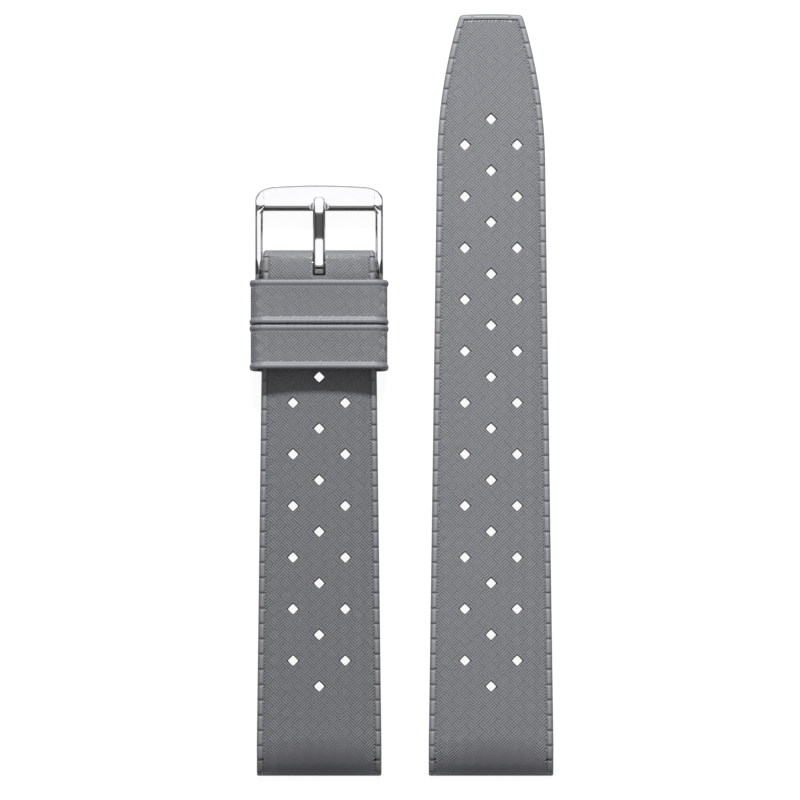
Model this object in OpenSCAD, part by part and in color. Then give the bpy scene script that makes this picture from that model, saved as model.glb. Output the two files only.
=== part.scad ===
// A vented silicone watch strap in two pieces, with a spring-bar buckle and two loose keepers.
// Both pieces lie front side up, side by side, with their lug ends in line. +Y runs from the lug
// ends towards the buckle and the tip, +X to the right, and +Z out of the front face.
// The origin is on the surface the strap lies on, below the middle of the whole strap.

/* [Both straps] */
// Width of both pieces between the watch's lugs
lug_w = 19.8; // [17.8:0.1:21.8]
// Length at the lugs over which the width stays the same
straight_len = 5; // [3:0.5:12]
// Thickness of the straps over their rails
body_t = 2.8; // [2.2:0.1:3.4]
// How far the eyes for the spring bars stand below the rest of the straps
eye_drop = 1.2; // [0.9:0.1:1.6]
// Length over which the front face curves down to the lug end
lug_curve = 6.5; // [6:0.1:8]
// Height at which that curve ends
lug_end_h = 0.8; // [0.75:0.05:1.2]
// Radius under the lug end
lug_round = 0.7; // [0.4:0.05:0.7]
// Length of the level underside of the eye at the lugs
lug_land = 4.6; // [4:0.1:5.4]
// Length over which the underside rises behind that eye
lug_ramp = 4.5; // [3:0.1:8]
// Distance from the lug end to the axis of the lug spring bar
lug_setback = 2.9; // [2.7:0.1:3.4]
// Height of that axis above the underside of the eye
lug_bar_h = 1.55; // [1.45:0.05:1.7]
// Radius of the hole for a lug spring bar
lug_bore_r = 0.9; // [0.7:0.05:0.95]
// Width of the raised rail along each edge
rail_w = 0.95; // [0.6:0.05:1.6]
// Height of the rails above the panel between them
rail_h = 0.25; // [0.15:0.05:0.5]
// Space between the two pieces as they lie at their widest
piece_gap = 7.5; // [4:0.5:20]

/* [Stitch notches] */
// Distance between the notches across the rails
notch_pitch = 2.425; // [1.8:0.005:4]
// Distance from the lug end to the first notch, along the front face
first_notch = 0.92; // [0.6:0.02:2.4]
// Depth of a notch, which is half its width
notch_depth = 0.18; // [0.1:0.01:0.2]
// Distance from the middle of the tip to the notches in its end rail
tip_notch = 2.95; // [2:0.05:3.5]

/* [Diamond holes] */
// Side of a square hole
hole_side = 1.17; // [0.8:0.01:1.6]
// Distance between the holes of the middle row
hole_pitch = 8.19; // [7:0.01:9]
// Distance from the middle row to the rows on each side
hole_offset = 4.15; // [3:0.05:5]
// Distance from the lug end to the first hole
first_hole = 14.2; // [12:0.1:18]
// Number of middle holes in the tail
tail_holes = 12; // [6:1:12]
// Number of middle holes in the buckle piece
head_holes = 8; // [3:1:8]

/* [Vent channels] */
// Width of the channels that join the holes along the underside
channel_w = 0.9; // [0.5:0.05:1.2]
// Depth of the channels
channel_depth = 0.35; // [0.2:0.05:0.5]
// Width of the plain margin beside the channels
margin_w = 1.9; // [1.2:0.1:3]

/* [Tail] */
// Length of the tail, from its lug end to its tip
tail_len = 121; // [118:1:135]
// Width of the tail where its point starts
tail_w = 17.2; // [15.5:0.1:17.6]
// Length of the point
point_len = 23.5; // [18:0.5:30]
// Width of the flat end of the tip
tip_w = 9.9; // [7:0.1:12]
// How far the end of the tip is bowed outwards
tip_bow = 0.15; // [0.05:0.05:0.5]
// Radius of the two corners of the tip
tip_round = 0.5; // [0.2:0.1:1]
// Thickness at the tip
tip_t = 2.3; // [1.8:0.1:2.8]
// Distance from the lug end at which the tail has settled onto the surface
settle_len = 45; // [30:1:80]

/* [Buckle piece] */
// Length of the buckle piece, from its lug end to its nose
head_len = 83.5; // [80:0.5:95]
// How much narrower it is at its nose than at its lug end
nose_taper = 2.2; // [1.6:0.05:2.6]
// Length over which the front face rounds down to the nose
nose_curve = 1.6; // [1:0.1:2.4]
// Height at which that rounding ends
nose_end_h = 2.6; // [2.2:0.1:3.2]
// Radius under the nose
nose_under = 1.5; // [0.8:0.1:1.6]
// Length of the level underside of the eye at the nose
nose_land = 3.6; // [3.2:0.1:4.2]
// Length over which the underside rises behind that eye
nose_ramp = 1.25; // [1:0.05:1.3]
// Radius of the two corners of the nose
nose_round = 0.6; // [0.2:0.1:1]
// Distance from the nose to the axis of the buckle's spring bar
bar_setback = 2.2; // [1.9:0.1:2.6]
// Height of that axis above the underside of the eye
bar_h = 1.75; // [1.6:0.05:1.9]
// Width of the slot for the tongue
slot_w = 2.2; // [2.1:0.05:3]
// How far the slot reaches behind the bar
slot_back = 2; // [1.95:0.05:3]
// Radius of the slot's inner corners
slot_round = 0.35; // [0.2:0.05:0.5]

/* [Keepers] */
// Length of a keeper along the strap
keeper_len = 6.95; // [5:0.05:8]
// Distance from the buckle's bar to the first keeper
keeper_setback = 2.75; // [2.7:0.05:4]
// Space between the two keepers
keeper_gap = 0.2; // [0.1:0.05:1]
// Thickness of a keeper's wall over the straps
keeper_wall = 1; // [0.8:0.05:1.5]
// Thickness of a keeper's walls at the sides
keeper_side = 1.13; // [0.9:0.01:1.6]
// Width of the rim at each end of a keeper
keeper_rim_w = 0.9; // [0.5:0.05:1.2]
// How far the rims stand out
keeper_rim_h = 0.22; // [0.1:0.02:0.4]
// Radius of a keeper's outer corners
keeper_round = 2; // [1.4:0.1:2.6]
// Radius of its inner corners
keeper_inner_round = 0.3; // [0.1:0.05:0.35]
// How far down the strap the pair of keepers can be pushed
keeper_travel = 34; // [20:1:40]

/* [Buckle frame] */
// Thickness of the two arms, seen from the front
arm_w = 1.2; // [1:0.05:1.3]
// Distance from the bar to the outer edge of the frame
frame_reach = 12.5; // [12:0.1:15]
// How far the outer edge is bowed
frame_bow = 0.25; // [0.1:0.05:0.6]
// Length of the front plate from its inner foot to the outer edge
plate_len = 4.1; // [3.6:0.1:5]
// Distance from the outer edge to the plate's crest
crest_back = 3.1; // [2.6:0.1:3.3]
// Height of the crest
crest_h = 4.05; // [3.9:0.05:4.8]
// Thickness of the front plate
plate_t = 1.5; // [1.2:0.1:1.8]
// How far the plate's slope is domed
plate_dome = 0.3; // [0.1:0.05:0.5]
// Radius along the plate's crest
plate_round = 0.4; // [0.2:0.05:0.5]
// How far the arms are bowed, seen from the side
arm_bow = 0.15; // [0.05:0.05:0.3]
// Length of each rounded corner across the frame
corner_x = 3.2; // [2:0.1:4]
// Length of each rounded corner along the frame
corner_y = 2.2; // [1.5:0.1:3]
// How far the ends of the arms reach behind the bar
arm_tail = 2.5; // [2.2:0.05:2.6]
// Depth of the groove that the tongue lies in
groove_depth = 0.63; // [0.4:0.01:0.8]
// Radius of that groove
groove_r = 3.6; // [2.4:0.1:5]

/* [Tongue] */
// Width of the tongue
tongue_w = 1.9; // [1.6:0.05:2]
// How far the tongue's point reaches past the plate's crest
tongue_over = 1.2; // [0.8:0.05:1.8]
// Thickness of the tongue behind its crest
tongue_t = 1.1; // [0.8:0.05:1.3]
// Thickness over its crest
tongue_crest_t = 0.95; // [0.7:0.05:1.2]
// Thickness of its point
tongue_tip_t = 0.6; // [0.4:0.05:0.8]
// How far the point dips below the crest
tongue_droop = 0.15; // [0:0.05:0.2]
// Distance from the bar at which the tongue starts to rise
tongue_flat = 3.8; // [3:0.1:4.5]

/* [Spring bar] */
// Radius of the tube
tube_r = 0.75; // [0.65:0.01:0.8]
// Thickness of the tube's wall
tube_wall = 0.15; // [0.1:0.01:0.2]
// Length of the crimp at each end of the tube
crimp_len = 0.4; // [0.3:0.05:0.8]
// Radius of the tips
bar_tip_r = 0.4; // [0.3:0.02:0.45]
// How far a tip reaches into an arm
tip_reach = 0.8; // [0.5:0.05:0.8]
// Radius of the flange behind a tip
flange_r = 0.7; // [0.6:0.01:0.75]
// Length of the flange
flange_len = 0.4; // [0.3:0.05:0.6]
// Length of the plunger's head inside the tube
plunger_len = 0.6; // [0.4:0.05:1]
// How much further a plunger could slide out if the frame weren't there
spare_throw = 0.3; // [0.1:0.05:0.6]
// Radius of the spring's wire
wire_r = 0.1; // [0.06:0.01:0.12]

/* [Clearances] */
// Between the nose of the strap and the arms
side_gap = 0.15; // [0.1:0.01:0.3]
// Between a keeper and what runs through it
soft_gap = 0.15; // [0.1:0.01:0.3]
// Between a steel shaft and its hole
run_gap = 0.05; // [0.03:0.01:0.08]
// Between the tube and the hole through the strap
bore_gap = 0.1; // [0.05:0.01:0.2]
// Between the steel parts and the surface they lie on
lift_gap = 0.05; // [0.02:0.01:0.1]

/* [Hidden] */

silicone = [0.47, 0.48, 0.5];
keeper_silicone = [0.51, 0.52, 0.54];
polished_steel = [0.82, 0.83, 0.85];
spring_steel = [0.6, 0.61, 0.64];

// Segments of a curved stretch in an outline, and the fineness of round parts
curve_n = 10;
point_n = 18;
fillet_n = 4;
round_fn = 48;
// Amount by which a cut runs past the face that it goes through
over = 1;

// Heights of the straps
strap_top = eye_drop + body_t;
cut_top = 3 * strap_top;

// Radius of the front face's curve at the lug end, and its length along that face
lug_curve_r = (pow(lug_curve, 2) + pow(strap_top - lug_end_h, 2)) / (2 * (strap_top - lug_end_h));
lug_curve_len = lug_curve_r * asin(lug_curve / lug_curve_r) * PI / 180;

// The buckle's bar, the nose that fits between the arms, and the keepers
head_w = lug_w - nose_taper;
arm_inner = head_w / 2 + side_gap;
frame_w = 2 * (arm_inner + arm_w);
bar_e = head_len - bar_setback;
front_keeper_e = bar_e - keeper_setback - keeper_len;
rear_keeper_e = front_keeper_e - keeper_gap - keeper_len;
keeper_inner_w = 2 * (half_width(rear_keeper_e - keeper_travel, head_w, head_len) + soft_gap);
keeper_outer_w = keeper_inner_w + 2 * keeper_side;
keeper_floor = eye_drop - soft_gap;
keeper_roof = strap_top + soft_gap + body_t + soft_gap;
rim_step = keeper_rim_w / 5;

// Where the two pieces lie
whole_w = keeper_outer_w / 2 + keeper_rim_h + piece_gap + 3 * lug_w / 2;
head_x = -whole_w / 2 + keeper_outer_w / 2 + keeper_rim_h;
tail_x = whole_w / 2 - lug_w / 2;
lug_y = -tail_len / 2;

// The frame and the tongue, measured from the bar
hub_r = bar_h - lift_gap;
plate_foot = frame_reach - plate_len;
crest_y = frame_reach - crest_back;
tongue_reach = crest_y + tongue_over;
groove_h = crest_h - groove_depth;
groove_side_h = groove_h + groove_r - sqrt(pow(groove_r, 2) - pow(tongue_w / 2, 2));
tongue_bed = groove_side_h + run_gap;
tongue_top = bar_h + hub_r;

// The spring bar, measured from the middle of the strap
tip_travel = tip_reach + run_gap;
flange_face = arm_inner - side_gap - run_gap;
tube_half = flange_face - flange_len - tip_travel - bore_gap;
plunger_face = tube_half - crimp_len - spare_throw;
spring_half = plunger_face - plunger_len;

// A point part of the way from a to b
function between(a, b, t) = a + (b - a) * t;

// A smooth step from p to q that leaves and arrives level
function ease(p, q, n) = [
    for (i = [0:n])
        [between(p.x, q.x, i / n), between(p.y, q.y, (1 - cos(180 * i / n)) / 2)]
];

// Points on a circle's arc round c from angle a to angle b
function arc(c, r, a, b, n) = [
    for (i = [0:n])
        let (t = between(a, b, i / n))
        c + r * [cos(t), sin(t)]
];

// An arc from p to q that bulges by s to the left of its chord, or to the right if s is below zero
function bowed(p, q, s, n) =
    let (
        c = norm(q - p) / 2,
        u = (q - p) / (2 * c),
        v = sign(s) * [-u.y, u.x],
        r = (c * c + s * s) / (2 * abs(s)),
        half = asin(c / r)
    )
    [
        for (i = [0:n])
            let (a = half * (2 * i / n - 1))
            (p + q) / 2 + u * r * sin(a) + v * (r * cos(a) - r + abs(s))
    ];

// An outline given as [x, y, radius], with each corner rounded by its radius
function rounded(corners) = [
    for (i = [0:len(corners) - 1])
        let (
            a = corners[(i + len(corners) - 1) % len(corners)],
            b = corners[i],
            c = corners[(i + 1) % len(corners)],
            p = [b.x, b.y]
        )
        each (b.z == 0 ? [p] : fillet([a.x, a.y] - p, [c.x, c.y] - p, p, b.z))
];

// The arc of radius r that rounds the corner p between the directions to its two neighbours
function fillet(to_a, to_c, p, r) =
    let (
        u = to_a / norm(to_a),
        v = to_c / norm(to_c),
        half = acos(u * v) / 2,
        centre = p + (u + v) / norm(u + v) * r / sin(half),
        start = p + u * r / tan(half) - centre,
        a = atan2(start.y, start.x),
        turn = (180 - 2 * half) * sign(u.y * v.x - u.x * v.y)
    )
    arc(centre, r, a, a + turn, fillet_n);

// Half the width of a strap at distance e from its lug end, tapering to far_w at far_e
function half_width(e, far_w, far_e) =
    lug_w / 2 - (lug_w - far_w) / 2 * max(0, e - straight_len) / (far_e - straight_len);

// Right edge of the tail's plan, moved inwards by s: parallel, tapering, then round to the tip
function tail_edge(s) =
    let (
        e = tail_len - point_len,
        slope = atan((lug_w - tail_w) / 2 / (e - straight_len)),
        way = [tip_w / 2 - tail_w / 2, point_len],
        inward = [-cos(slope), -sin(slope)],
        r = (way * way) / (2 * way * inward),
        centre = [tail_w / 2, e] + r * inward,
        last = asin((tail_len - tip_bow - s - centre.y) / (r - s))
    )
    concat([[lug_w / 2 - s, straight_len]], arc(centre, r - s, slope, last, point_n));

// The tail's plan, moved inwards by s, from the distance e of its lug end
function tail_plan(s, e) =
    let (
        edge = concat([[lug_w / 2 - s, e]], tail_edge(s)),
        last = len(edge) - 1,
        tip = bowed(edge[last], [-edge[last].x, edge[last].y], -tip_bow, curve_n)
    )
    rounded(concat(
        [for (i = [0:last]) [edge[i].x, edge[i].y, i == last ? tip_round : 0]],
        [for (i = [1:curve_n - 1]) [tip[i].x, tip[i].y, 0]],
        [for (i = [last:-1:0]) [-edge[i].x, edge[i].y, i == last ? tip_round : 0]]
    ));

// The buckle piece's plan, moved inwards by s, between two distances from its lug end
function head_plan(s, from, to) =
    let (
        wide = lug_w / 2 - s,
        narrow = half_width(to, head_w, head_len) - s,
        r = s == 0 ? nose_round : 0
    )
    rounded([
        [wide, from, 0], [wide, straight_len, 0], [narrow, to, r],
        [-narrow, to, r], [-wide, straight_len, 0], [-wide, from, 0]
    ]);

// The front face over an eye, from its end, at height end_h, to the level stretch
function eye_front(curve, end_h) =
    let (
        drop = strap_top - end_h,
        r = (pow(curve, 2) + pow(drop, 2)) / (2 * drop),
        sweep = asin(curve / r)
    )
    arc([curve, strap_top - r], r, 90 + sweep, 90, curve_n);

// The underside of an eye, from behind it round to its end
function eye_under(land, ramp, r) = concat(
    ease([land + ramp, eye_drop], [land, 0], curve_n),
    arc([r, r], r, 270, 180, fillet_n)
);

// Slope of the front face at distance s along it from the lug end, and how far that point is from the end
function slope_at(s) = max(0, lug_curve_len - s) / lug_curve_r * 180 / PI;
function reach_at(s) =
    s < lug_curve_len ? lug_curve - lug_curve_r * sin(slope_at(s)) : lug_curve + s - lug_curve_len;

// The same, seen from the other end of the buckle piece
function turned(points) = [for (i = [len(points) - 1:-1:0]) [head_len - points[i].x, points[i].y]];

function tail_front() = concat(
    eye_front(lug_curve, lug_end_h),
    ease([lug_land + lug_ramp, strap_top], [settle_len, body_t], curve_n),
    [[tail_len + over, tip_t]]
);

function tail_under() = concat(
    [[tail_len + over, 0]],
    ease([settle_len, 0], [lug_land + lug_ramp, eye_drop], curve_n),
    eye_under(lug_land, lug_ramp, lug_round)
);

function head_front() = concat(
    eye_front(lug_curve, lug_end_h),
    turned(eye_front(nose_curve, nose_end_h))
);

function head_under() = concat(
    turned(eye_under(nose_land, nose_ramp, nose_under)),
    eye_under(lug_land, lug_ramp, lug_round)
);

// A solid whose outline is drawn in Y and Z, centred on X
module sideways(w) {
    rotate([90, 0, 90])
        linear_extrude(w, center = true)
            children();
}

// A pin along X from one distance to another, at height h
module pin(r, from, to, h = bar_h) {
    translate([from, 0, h])
        rotate([0, 90, 0])
            cylinder(r = r, h = to - from, $fn = round_fn);
}

// The space above a strap's panel, as far as the rails let it reach
module above_panel(front) {
    sideways(2 * lug_w)
        polygon(concat(
            [for (p = front) p - [0, rail_h]],
            [[front[len(front) - 1].x + over, cut_top], [-over, cut_top], [-over, front[0].y - rail_h]]
        ));
}

// A diamond hole through everything, at distance e from the lug end
module diamond(x, e) {
    translate([x, e, -over])
        rotate(45)
            translate([-hole_side / 2, -hole_side / 2, 0])
                cube([hole_side, hole_side, cut_top]);
}

// The middle row of holes, and the rows beside it half a pitch on
module diamonds(count) {
    for (i = [0:count - 1])
        diamond(0, first_hole + i * hole_pitch);
    for (i = [0:count - 2], side = [-1, 1])
        diamond(side * hole_offset, first_hole + (i + 0.5) * hole_pitch);
}

// V-shaped notches across both rails, square to the front face, up to distance last along it
module notches(front, last) {
    for (s = [first_notch:notch_pitch:last])
        translate([0, reach_at(s), lookup(reach_at(s), front)])
            rotate([45 + slope_at(s), 0, 0])
                cube([2 * lug_w, sqrt(2) * notch_depth, sqrt(2) * notch_depth], center = true);
}

// The two notches in the rail along the tip
module tip_notches() {
    for (x = [-tip_notch, tip_notch])
        translate([x, tail_len - rail_w + over, lookup(tail_len, tail_front())])
            rotate([0, 45, 0])
                cube([sqrt(2) * notch_depth, 2 * over, sqrt(2) * notch_depth], center = true);
}

// Channels in the underside that cross at every hole, within the outline edge
module channels(edge, under, count) {
    intersection() {
        linear_extrude(cut_top)
            intersection() {
                polygon(edge);
                for (i = [0:count - 1], turn = [-45, 45])
                    translate([0, first_hole + i * hole_pitch])
                        rotate(turn)
                            square([2 * lug_w, channel_w], center = true);
            }
        sideways(2 * lug_w)
            polygon(concat(
                [for (p = under) p + [0, channel_depth]],
                [for (i = [len(under) - 1:-1:0]) under[i] - [0, over]]
            ));
    }
}

// A strap from its two outlines, with its panel sunk between the rails
module moulding(plan, panel, front, under) {
    difference() {
        intersection() {
            linear_extrude(cut_top)
                polygon(plan);
            sideways(2 * lug_w)
                polygon(concat(front, under));
        }
        intersection() {
            linear_extrude(cut_top)
                polygon(panel);
            above_panel(front);
        }
        translate([0, lug_setback, 0])
            pin(lug_bore_r, -lug_w, lug_w, lug_bar_h);
    }
}

module long_strap() {
    color(silicone)
        translate([tail_x, lug_y, 0])
            difference() {
                moulding(tail_plan(0, 0), tail_plan(rail_w, -over), tail_front(), tail_under());
                diamonds(tail_holes);
                notches(tail_front(), tail_len - rail_w + lug_curve_len - lug_curve);
                tip_notches();
                channels(tail_plan(margin_w, first_hole / 2), tail_under(), tail_holes);
            }
}

// The slot in the nose that the tongue swings in
module tongue_slot() {
    translate([-slot_w / 2, bar_e - slot_back + slot_round, -over])
        cube([slot_w, head_len, cut_top]);
    translate([-slot_w / 2 + slot_round, bar_e - slot_back, -over])
        cube([slot_w - 2 * slot_round, head_len, cut_top]);
    for (x = [slot_round - slot_w / 2, slot_w / 2 - slot_round])
        translate([x, bar_e - slot_back + slot_round, -over])
            cylinder(r = slot_round, h = cut_top, $fn = round_fn);
}

module short_strap() {
    color(silicone)
        translate([head_x, lug_y, 0])
            difference() {
                moulding(
                    head_plan(0, 0, head_len), head_plan(rail_w, -over, head_len + over),
                    head_front(), head_under()
                );
                diamonds(head_holes);
                notches(head_front(), head_len - nose_curve / 2 + lug_curve_len - lug_curve);
                channels(head_plan(margin_w, first_hole / 2, bar_e - slot_back), head_under(), head_holes);
                tongue_slot();
                translate([0, bar_e, 0])
                    pin(tube_r + bore_gap, -lug_w, lug_w);
            }
}

// A rectangle between two heights with round corners, centred on X
module band(w, low, high, r) {
    translate([-w / 2 + r, low])
        square([w - 2 * r, high - low]);
    translate([-w / 2, low + r])
        square([w, high - low - 2 * r]);
    for (x = [-1, 1], z = [low + r, high - r])
        translate([x * (w / 2 - r), z])
            circle(r, $fn = round_fn);
}

// A band of a keeper that stands out by out, from one distance to another
module keeper_band(out, from, to) {
    translate([0, to, 0])
        rotate([90, 0, 0])
            linear_extrude(to - from)
                difference() {
                    band(
                        keeper_outer_w + 2 * out, keeper_rim_h - out,
                        keeper_roof + keeper_wall + out, keeper_round + out
                    );
                    band(keeper_inner_w, keeper_floor, keeper_roof, keeper_inner_round);
                }
}

// A keeper with its lower end at distance e from the lug end: a flat loop with a rim at each end
module keeper(e) {
    color(keeper_silicone)
        translate([head_x, lug_y + e, 0]) {
            keeper_band(0, keeper_rim_w, keeper_len - keeper_rim_w);
            for (rim = [0, keeper_len - keeper_rim_w]) {
                keeper_band(keeper_rim_h / 2, rim, rim + rim_step);
                keeper_band(keeper_rim_h, rim + rim_step, rim + keeper_rim_w - rim_step);
                keeper_band(keeper_rim_h / 2, rim + keeper_rim_w - rim_step, rim + keeper_rim_w);
            }
        }
}

module keeper_front() {
    keeper(front_keeper_e);
}

module keeper_rear() {
    keeper(rear_keeper_e);
}

// The frame's plan as if it had no window
module frame_plan() {
    side = frame_w / 2;
    shoulder = frame_reach - frame_bow;
    turn = [
        for (a = [0:15:90])
            [side - corner_x + corner_x * cos(a), shoulder - corner_y + corner_y * sin(a)]
    ];
    edge = bowed([side - corner_x, shoulder], [corner_x - side, shoulder], -frame_bow, curve_n);
    polygon(concat(
        [[side, -2 * arm_tail]], turn, [for (i = [1:curve_n - 1]) edge[i]],
        [for (i = [len(turn) - 1:-1:0]) [-turn[i].x, turn[i].y]], [[-side, -2 * arm_tail]]
    ));
}

// The front plate from the side: a round outer edge, a domed slope up to the crest, a steep inner wall
module plate_profile() {
    slope = bowed([frame_reach, plate_t], [crest_y, crest_h], -plate_dome, curve_n);
    rounding = [for (i = [0:curve_n]) i == 0 ? plate_round / 2 : i == curve_n ? plate_round : 0];
    polygon(rounded(concat(
        [for (i = [0:curve_n]) [slope[i].x, slope[i].y, rounding[i]]],
        [
            [plate_foot, crest_h - plate_t, plate_round / 2],
            [frame_reach - plate_t, lift_gap, plate_round],
            [frame_reach, lift_gap, plate_round]
        ]
    )));
}

// An arm from the side: round at the bar, with its top bowed up and its underside hollow
module arm_profile() {
    hub = [hub_r - arm_tail, bar_h];
    root_y = frame_reach - corner_y;
    polygon(concat(
        arc(hub, hub_r, 90, 270, 2 * curve_n),
        bowed([hub.x, hub.y - hub_r], [root_y, plate_t / 2], arm_bow, curve_n),
        bowed([root_y, crest_h - plate_t / 2], [hub.x, hub.y + hub_r], -2 * arm_bow, curve_n)
    ));
}

module buckle_frame() {
    color(polished_steel)
        translate([head_x, lug_y + bar_e, 0])
            difference() {
                intersection() {
                    linear_extrude(cut_top)
                        frame_plan();
                    union() {
                        sideways(2 * frame_w)
                            plate_profile();
                        difference() {
                            sideways(2 * frame_w)
                                arm_profile();
                            translate([-arm_inner, -2 * arm_tail, -over])
                                cube([2 * arm_inner, frame_reach + 2 * arm_tail, cut_top]);
                        }
                    }
                }
                translate([0, plate_foot - over, groove_h + groove_r])
                    rotate([-90, 0, 0])
                        cylinder(r = groove_r, h = plate_len + 2 * over, $fn = round_fn);
                pin(bar_tip_r + run_gap, -arm_inner - tip_travel, arm_inner + tip_travel);
            }
}

// The tongue from the side: level over the bar, up a slope to its crest and down to its point
module tongue_profile() {
    tip_h = tongue_bed - tongue_droop;
    polygon(rounded([
        [0, tongue_top, 0], [0, tongue_top - tongue_t, 0], [tongue_flat, tongue_top - tongue_t, 3],
        [plate_foot, tongue_bed, 1.5], [crest_y, tongue_bed, 1],
        [tongue_reach, tip_h, tongue_tip_t / 4], [tongue_reach, tip_h + tongue_tip_t, tongue_tip_t / 2],
        [crest_y, tongue_bed + tongue_crest_t, 1.5], [plate_foot, tongue_bed + tongue_crest_t, 1.5],
        [tongue_flat, tongue_top, 3]
    ]));
}

module buckle_tongue() {
    color(polished_steel)
        translate([head_x, lug_y + bar_e, 0])
            difference() {
                union() {
                    sideways(tongue_w)
                        tongue_profile();
                    pin(hub_r, -tongue_w / 2, tongue_w / 2);
                }
                pin(tube_r + run_gap, -tongue_w, tongue_w);
            }
}

module spring_bar_tube() {
    bore_r = tube_r - tube_wall;
    color(spring_steel)
        translate([head_x, lug_y + bar_e, 0])
            difference() {
                pin(tube_r, -tube_half, tube_half);
                pin(bore_r, crimp_len - tube_half, tube_half - crimp_len);
                pin(bar_tip_r + 2 * run_gap, -tube_half - over, tube_half + over);
            }
}

// A plunger on the right: its head and neck in the tube, its flange, and its tip in the arm
module plunger() {
    color(spring_steel) {
        union() {
            pin(tube_r - tube_wall - run_gap, spring_half, plunger_face);
            pin(bar_tip_r, spring_half, arm_inner + tip_reach);
            pin(flange_r, flange_face - flange_len, flange_face);
        }
    }
}

module spring_bar_tip_left() {
    translate([head_x, lug_y + bar_e, 0])
        mirror([1, 0, 0])
            plunger();
}

module spring_bar_tip_right() {
    translate([head_x, lug_y + bar_e, 0])
        plunger();
}

// The spring is out of sight in the tube, so it is a plain sleeve of its coils' size
module spring_bar_spring() {
    coil_r = tube_r - tube_wall - run_gap;
    color(spring_steel)
        translate([head_x, lug_y + bar_e, 0])
            difference() {
                pin(coil_r, -spring_half, spring_half);
                pin(coil_r - 2 * wire_r, -tube_half, tube_half);
            }
}

short_strap();
long_strap();
keeper_front();
keeper_rear();
buckle_frame();
buckle_tongue();
spring_bar_tube();
spring_bar_tip_left();
spring_bar_tip_right();
spring_bar_spring();
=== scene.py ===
"""A vented silicone watch strap, dressed for its photograph.

Two moulded straps lie front side up on a white floor, side by side. The short one carries a
polished spring-bar buckle and two loose keepers. Sizes are in millimetres and become metres when
a mesh is placed. A place on a strap is its distance x from the middle line and its distance e
from the lug end, or its distance s along the curved front face.
"""

import logging
import math
from collections.abc import Callable
from dataclasses import dataclass, field
from enum import Enum
from typing import Any

import bpy
import numpy as np
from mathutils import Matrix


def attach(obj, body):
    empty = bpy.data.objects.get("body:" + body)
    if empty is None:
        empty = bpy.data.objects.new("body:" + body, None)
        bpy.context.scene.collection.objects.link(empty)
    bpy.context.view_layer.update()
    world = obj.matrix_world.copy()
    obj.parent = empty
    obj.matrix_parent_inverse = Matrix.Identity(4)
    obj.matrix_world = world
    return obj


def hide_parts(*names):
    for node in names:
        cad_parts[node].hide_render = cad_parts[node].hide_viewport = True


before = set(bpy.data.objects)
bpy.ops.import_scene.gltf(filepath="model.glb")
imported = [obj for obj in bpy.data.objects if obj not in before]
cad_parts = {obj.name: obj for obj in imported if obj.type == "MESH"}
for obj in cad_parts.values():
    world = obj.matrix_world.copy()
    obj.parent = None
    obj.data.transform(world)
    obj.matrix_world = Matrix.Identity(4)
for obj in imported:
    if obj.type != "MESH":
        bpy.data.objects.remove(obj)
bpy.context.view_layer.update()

log = logging.getLogger("strap")

MM = 0.001
# Name of the mask that says where a painted highlight makes the silicone paler
PAINTED_HIGHLIGHT = "painted_highlight"
Points = np.ndarray

# Middle line of the buckle piece, line of both lug ends, and axis and tube of the buckle's hinge
HEAD_X = -13.0783
LUG_Y = -60.5
BAR_Y = 20.8
BAR_H = 1.75
HUB_R = 1.7


class Side(Enum):
    """The two ends of the bar that the buckle turns on."""

    LEFT = -1
    RIGHT = 1


class Axis(Enum):
    """How a rod is turned to lie along one of the axes."""

    X = (0.0, math.pi / 2, 0.0)
    Y = (math.pi / 2, 0.0, 0.0)


class Slot(Enum):
    """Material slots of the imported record."""

    SILICONE = "silicone"
    POLISHED = "polished_steel"
    BAR = "bar_steel"


# Colour and nodes


def linear(shade: str) -> tuple[float, float, float, float]:
    """Turns an sRGB hex colour into the linear values that a shader takes.

    Args:
        shade: The colour as "#rrggbb".

    Returns:
        Linear red, green and blue, and full alpha.
    """
    parts = [int(shade[i : i + 2], 16) / 255 for i in (1, 3, 5)]
    red, green, blue = (c / 12.92 if c <= 0.04045 else ((c + 0.055) / 1.055) ** 2.4 for c in parts)
    return red, green, blue, 1.0


def add_node(
    tree: bpy.types.NodeTree, kind: str, inputs: dict[str | int, Any] | None = None, **settings: Any
) -> bpy.types.Node:
    """Adds a shader node, sets it up and links it.

    Args:
        tree: The tree that the node goes into.
        kind: The node's type, without the leading "ShaderNode".
        inputs: For each input, a value or the output socket that feeds it.
        settings: The node's own properties.

    Returns:
        The new node.
    """
    made = tree.nodes.new("ShaderNode" + kind)
    for name, value in settings.items():
        setattr(made, name, value)
    for name, value in (inputs or {}).items():
        if isinstance(value, bpy.types.NodeSocket):
            tree.links.new(value, made.inputs[name])
        else:
            made.inputs[name].default_value = value
    return made


def new_material(name: str) -> tuple[bpy.types.Material, bpy.types.NodeTree]:
    """Makes an empty material with nodes.

    Args:
        name: The material's name.

    Returns:
        The material and its node tree.
    """
    material = bpy.data.materials.new(name)
    material.use_nodes = True
    material.node_tree.nodes.clear()
    return material, material.node_tree


# Mesh work


def take(piece: bpy.types.Object) -> None:
    """Selects one object alone and makes it the active one.

    Args:
        piece: The object.
    """
    bpy.ops.object.select_all(action="DESELECT")
    piece.select_set(True)
    bpy.context.view_layer.objects.active = piece


def read_places(piece: bpy.types.Object) -> Points:
    """Reads the places of a mesh's points.

    Args:
        piece: A mesh object at the origin.

    Returns:
        One row of coordinates in metres for each point.
    """
    flat = np.zeros(3 * len(piece.data.vertices), np.float32)
    piece.data.vertices.foreach_get("co", flat)
    return flat.reshape(-1, 3).astype(float)


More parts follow.
